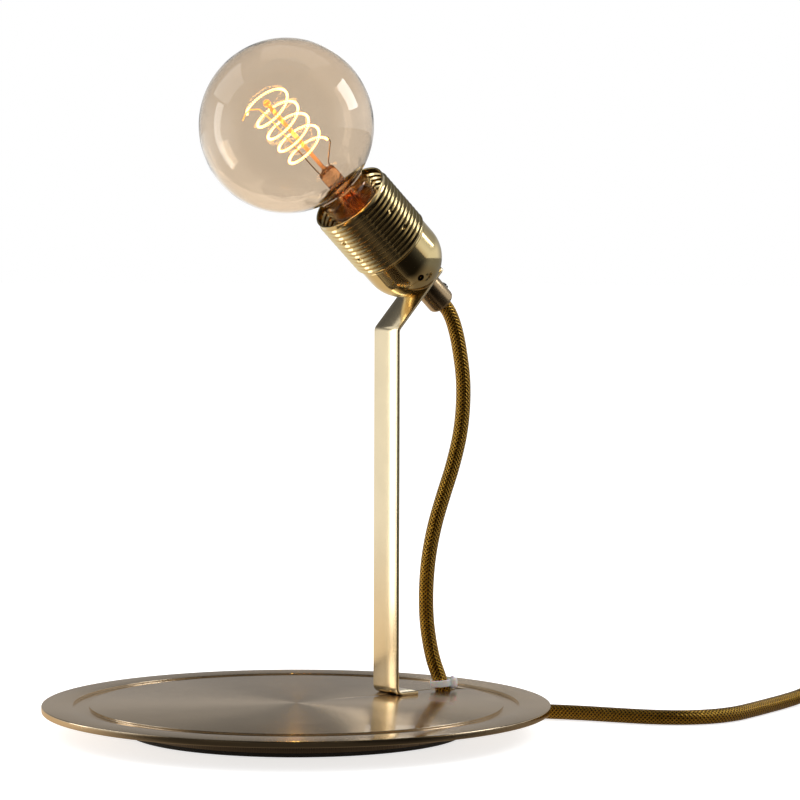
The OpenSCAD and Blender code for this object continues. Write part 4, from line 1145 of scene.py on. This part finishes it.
def addWorld(r):
    world = bpy.data.worlds.new("studio")
    bpy.context.scene.world = world
    world.use_nodes = True
    tree = world.node_tree
    rays = add(tree, "ShaderNodeLightPath").outputs
    direction = add(tree, "ShaderNodeTexCoord").outputs["Generated"]
    facing = alongWay(tree, direction, (-away + up * 0.1).normalized())
    # things that stand in the dark half, seen only as soft patches in the brass
    patches = noise(tree, direction, r["patchScale"], 2)
    patches = rangeOf(tree, patches, *r["patchReach"], r["dark"], r["dark"] + r["patch"])
    sides = rangeOf(tree, facing, *r["front"], 1.0, patches)
    far = rangeOf(tree, facing, *r["backReach"], r["back"], r["backEdge"])
    # overhead it is dark, and on the left the dark starts lower
    rise = add(tree, "ShaderNodeSeparateXYZ", {0: direction}).outputs[2]
    leftward = alongWay(tree, direction, -sideways)
    rise = plus(tree, rise, rangeOf(tree, leftward, *r["leftReach"], 0.0, r["leftLower"]))
    ceiling = rangeOf(tree, rise, *r["highReach"], r["bright"], r["high"])
    level = times(tree, rays["Is Glossy Ray"], times(tree, times(tree, sides, far), ceiling))
    level = plus(tree, level, times(tree, rays["Is Diffuse Ray"], r["diffuse"]))
    through = times(tree, rays["Is Transmission Ray"], sides)
    level = maths(tree, "MAXIMUM", level, maths(tree, "MAXIMUM", rays["Is Camera Ray"], through))
    warm = times(tree, rays["Is Glossy Ray"], rangeOf(tree, facing, *r["warmReach"], 0.0, 1.0))
    setMany(tree.nodes["Background"], Strength=level, Color=mixColour(tree, warm, (1, 1, 1), r["warm"]))


def addTable(r):
    mat, tree, shader = nodeTree("whiteTable")
    rays = add(tree, "ShaderNodeLightPath").outputs
    gloss = rays["Is Glossy Ray"]
    place = objectPlace(tree)
    distance = add(tree, "ShaderNodeVectorMath", {0: place}, operation="LENGTH").outputs["Value"]
    # metal sees the table go dark towards the camera's side, as it does the room, and towards the right
    front = maths(tree, "DIVIDE", alongWay(tree, place, -away), maths(tree, "MAXIMUM", distance, 0.25))
    rightward = alongWay(tree, place, sideways)
    mirrored = times(tree, rangeOf(tree, front, *r["frontReach"], 1.0, r["front"]),
                     rangeOf(tree, rightward, *r["rightReach"], 1.0, r["right"]))
    through = times(tree, rays["Is Transmission Ray"], r["through"])
    seen = maths(tree, "MAXIMUM", rays["Is Camera Ray"], through)
    level = plus(tree, times(tree, gloss, times(tree, mirrored, r["gloss"])), times(tree, seen, r["seen"]))
    # the lit bulb warms the table near the lamp, which the stem mirrors
    near = times(tree, gloss, rangeOf(tree, distance, *r["nearReach"], 1.0, 0.0))
    setMany(shader, Base_Color=mixColour(tree, gloss, (r["white"],) * 3, (0, 0, 0)), Emission_Strength=level,
            Emission_Color=mixColour(tree, near, (1, 1, 1), r["near"]), Roughness=0.9, Specular_IOR_Level=0.0)
    bm = bmesh.new()
    bmesh.ops.create_circle(bm, cap_ends=True, segments=96, radius=r["radius"])
    obj = meshObject("table", bm)
    obj.data.materials.append(mat)
    obj.location.z = -r["drop"]


def addGlow(c):
    # warm light of the filament on the holder and the base
    data = bpy.data.lights.new("filamentLight", "POINT")
    data.energy = c["power"]
    data.color = c["colour"]
    data.shadow_soft_size = c["size"]
    obj = newObject("filamentLight", data)
    obj.location = onAxis(c["height"])
    obj.visible_camera = obj.visible_transmission = False


def addSoftbox(name, place, size, brightness, aimAt=0.2, unseenBy=None):
    # equally bright at any size, facing a point aimAt metres above the base's middle
    place = place[0] * sideways + place[1] * away + place[2] * up
    data = bpy.data.lights.new(name, "AREA")
    data.shape = "RECTANGLE"
    data.size, data.size_y = size
    data.energy = brightness * pi * size[0] * size[1]
    obj = newObject(name, data)
    turn = (Vector((0, 0, aimAt)) - place).to_track_quat("-Z", "Y").to_matrix().to_4x4()
    obj.matrix_world = Matrix.Translation(place) @ turn
    obj.visible_camera = False
    if unseenBy:
        setattr(obj, unseenBy, False)


addWorld(room)
addTable(table)
addGlow(filamentLight)
for box in softboxes:
    addSoftbox(**box)
print("room lit")
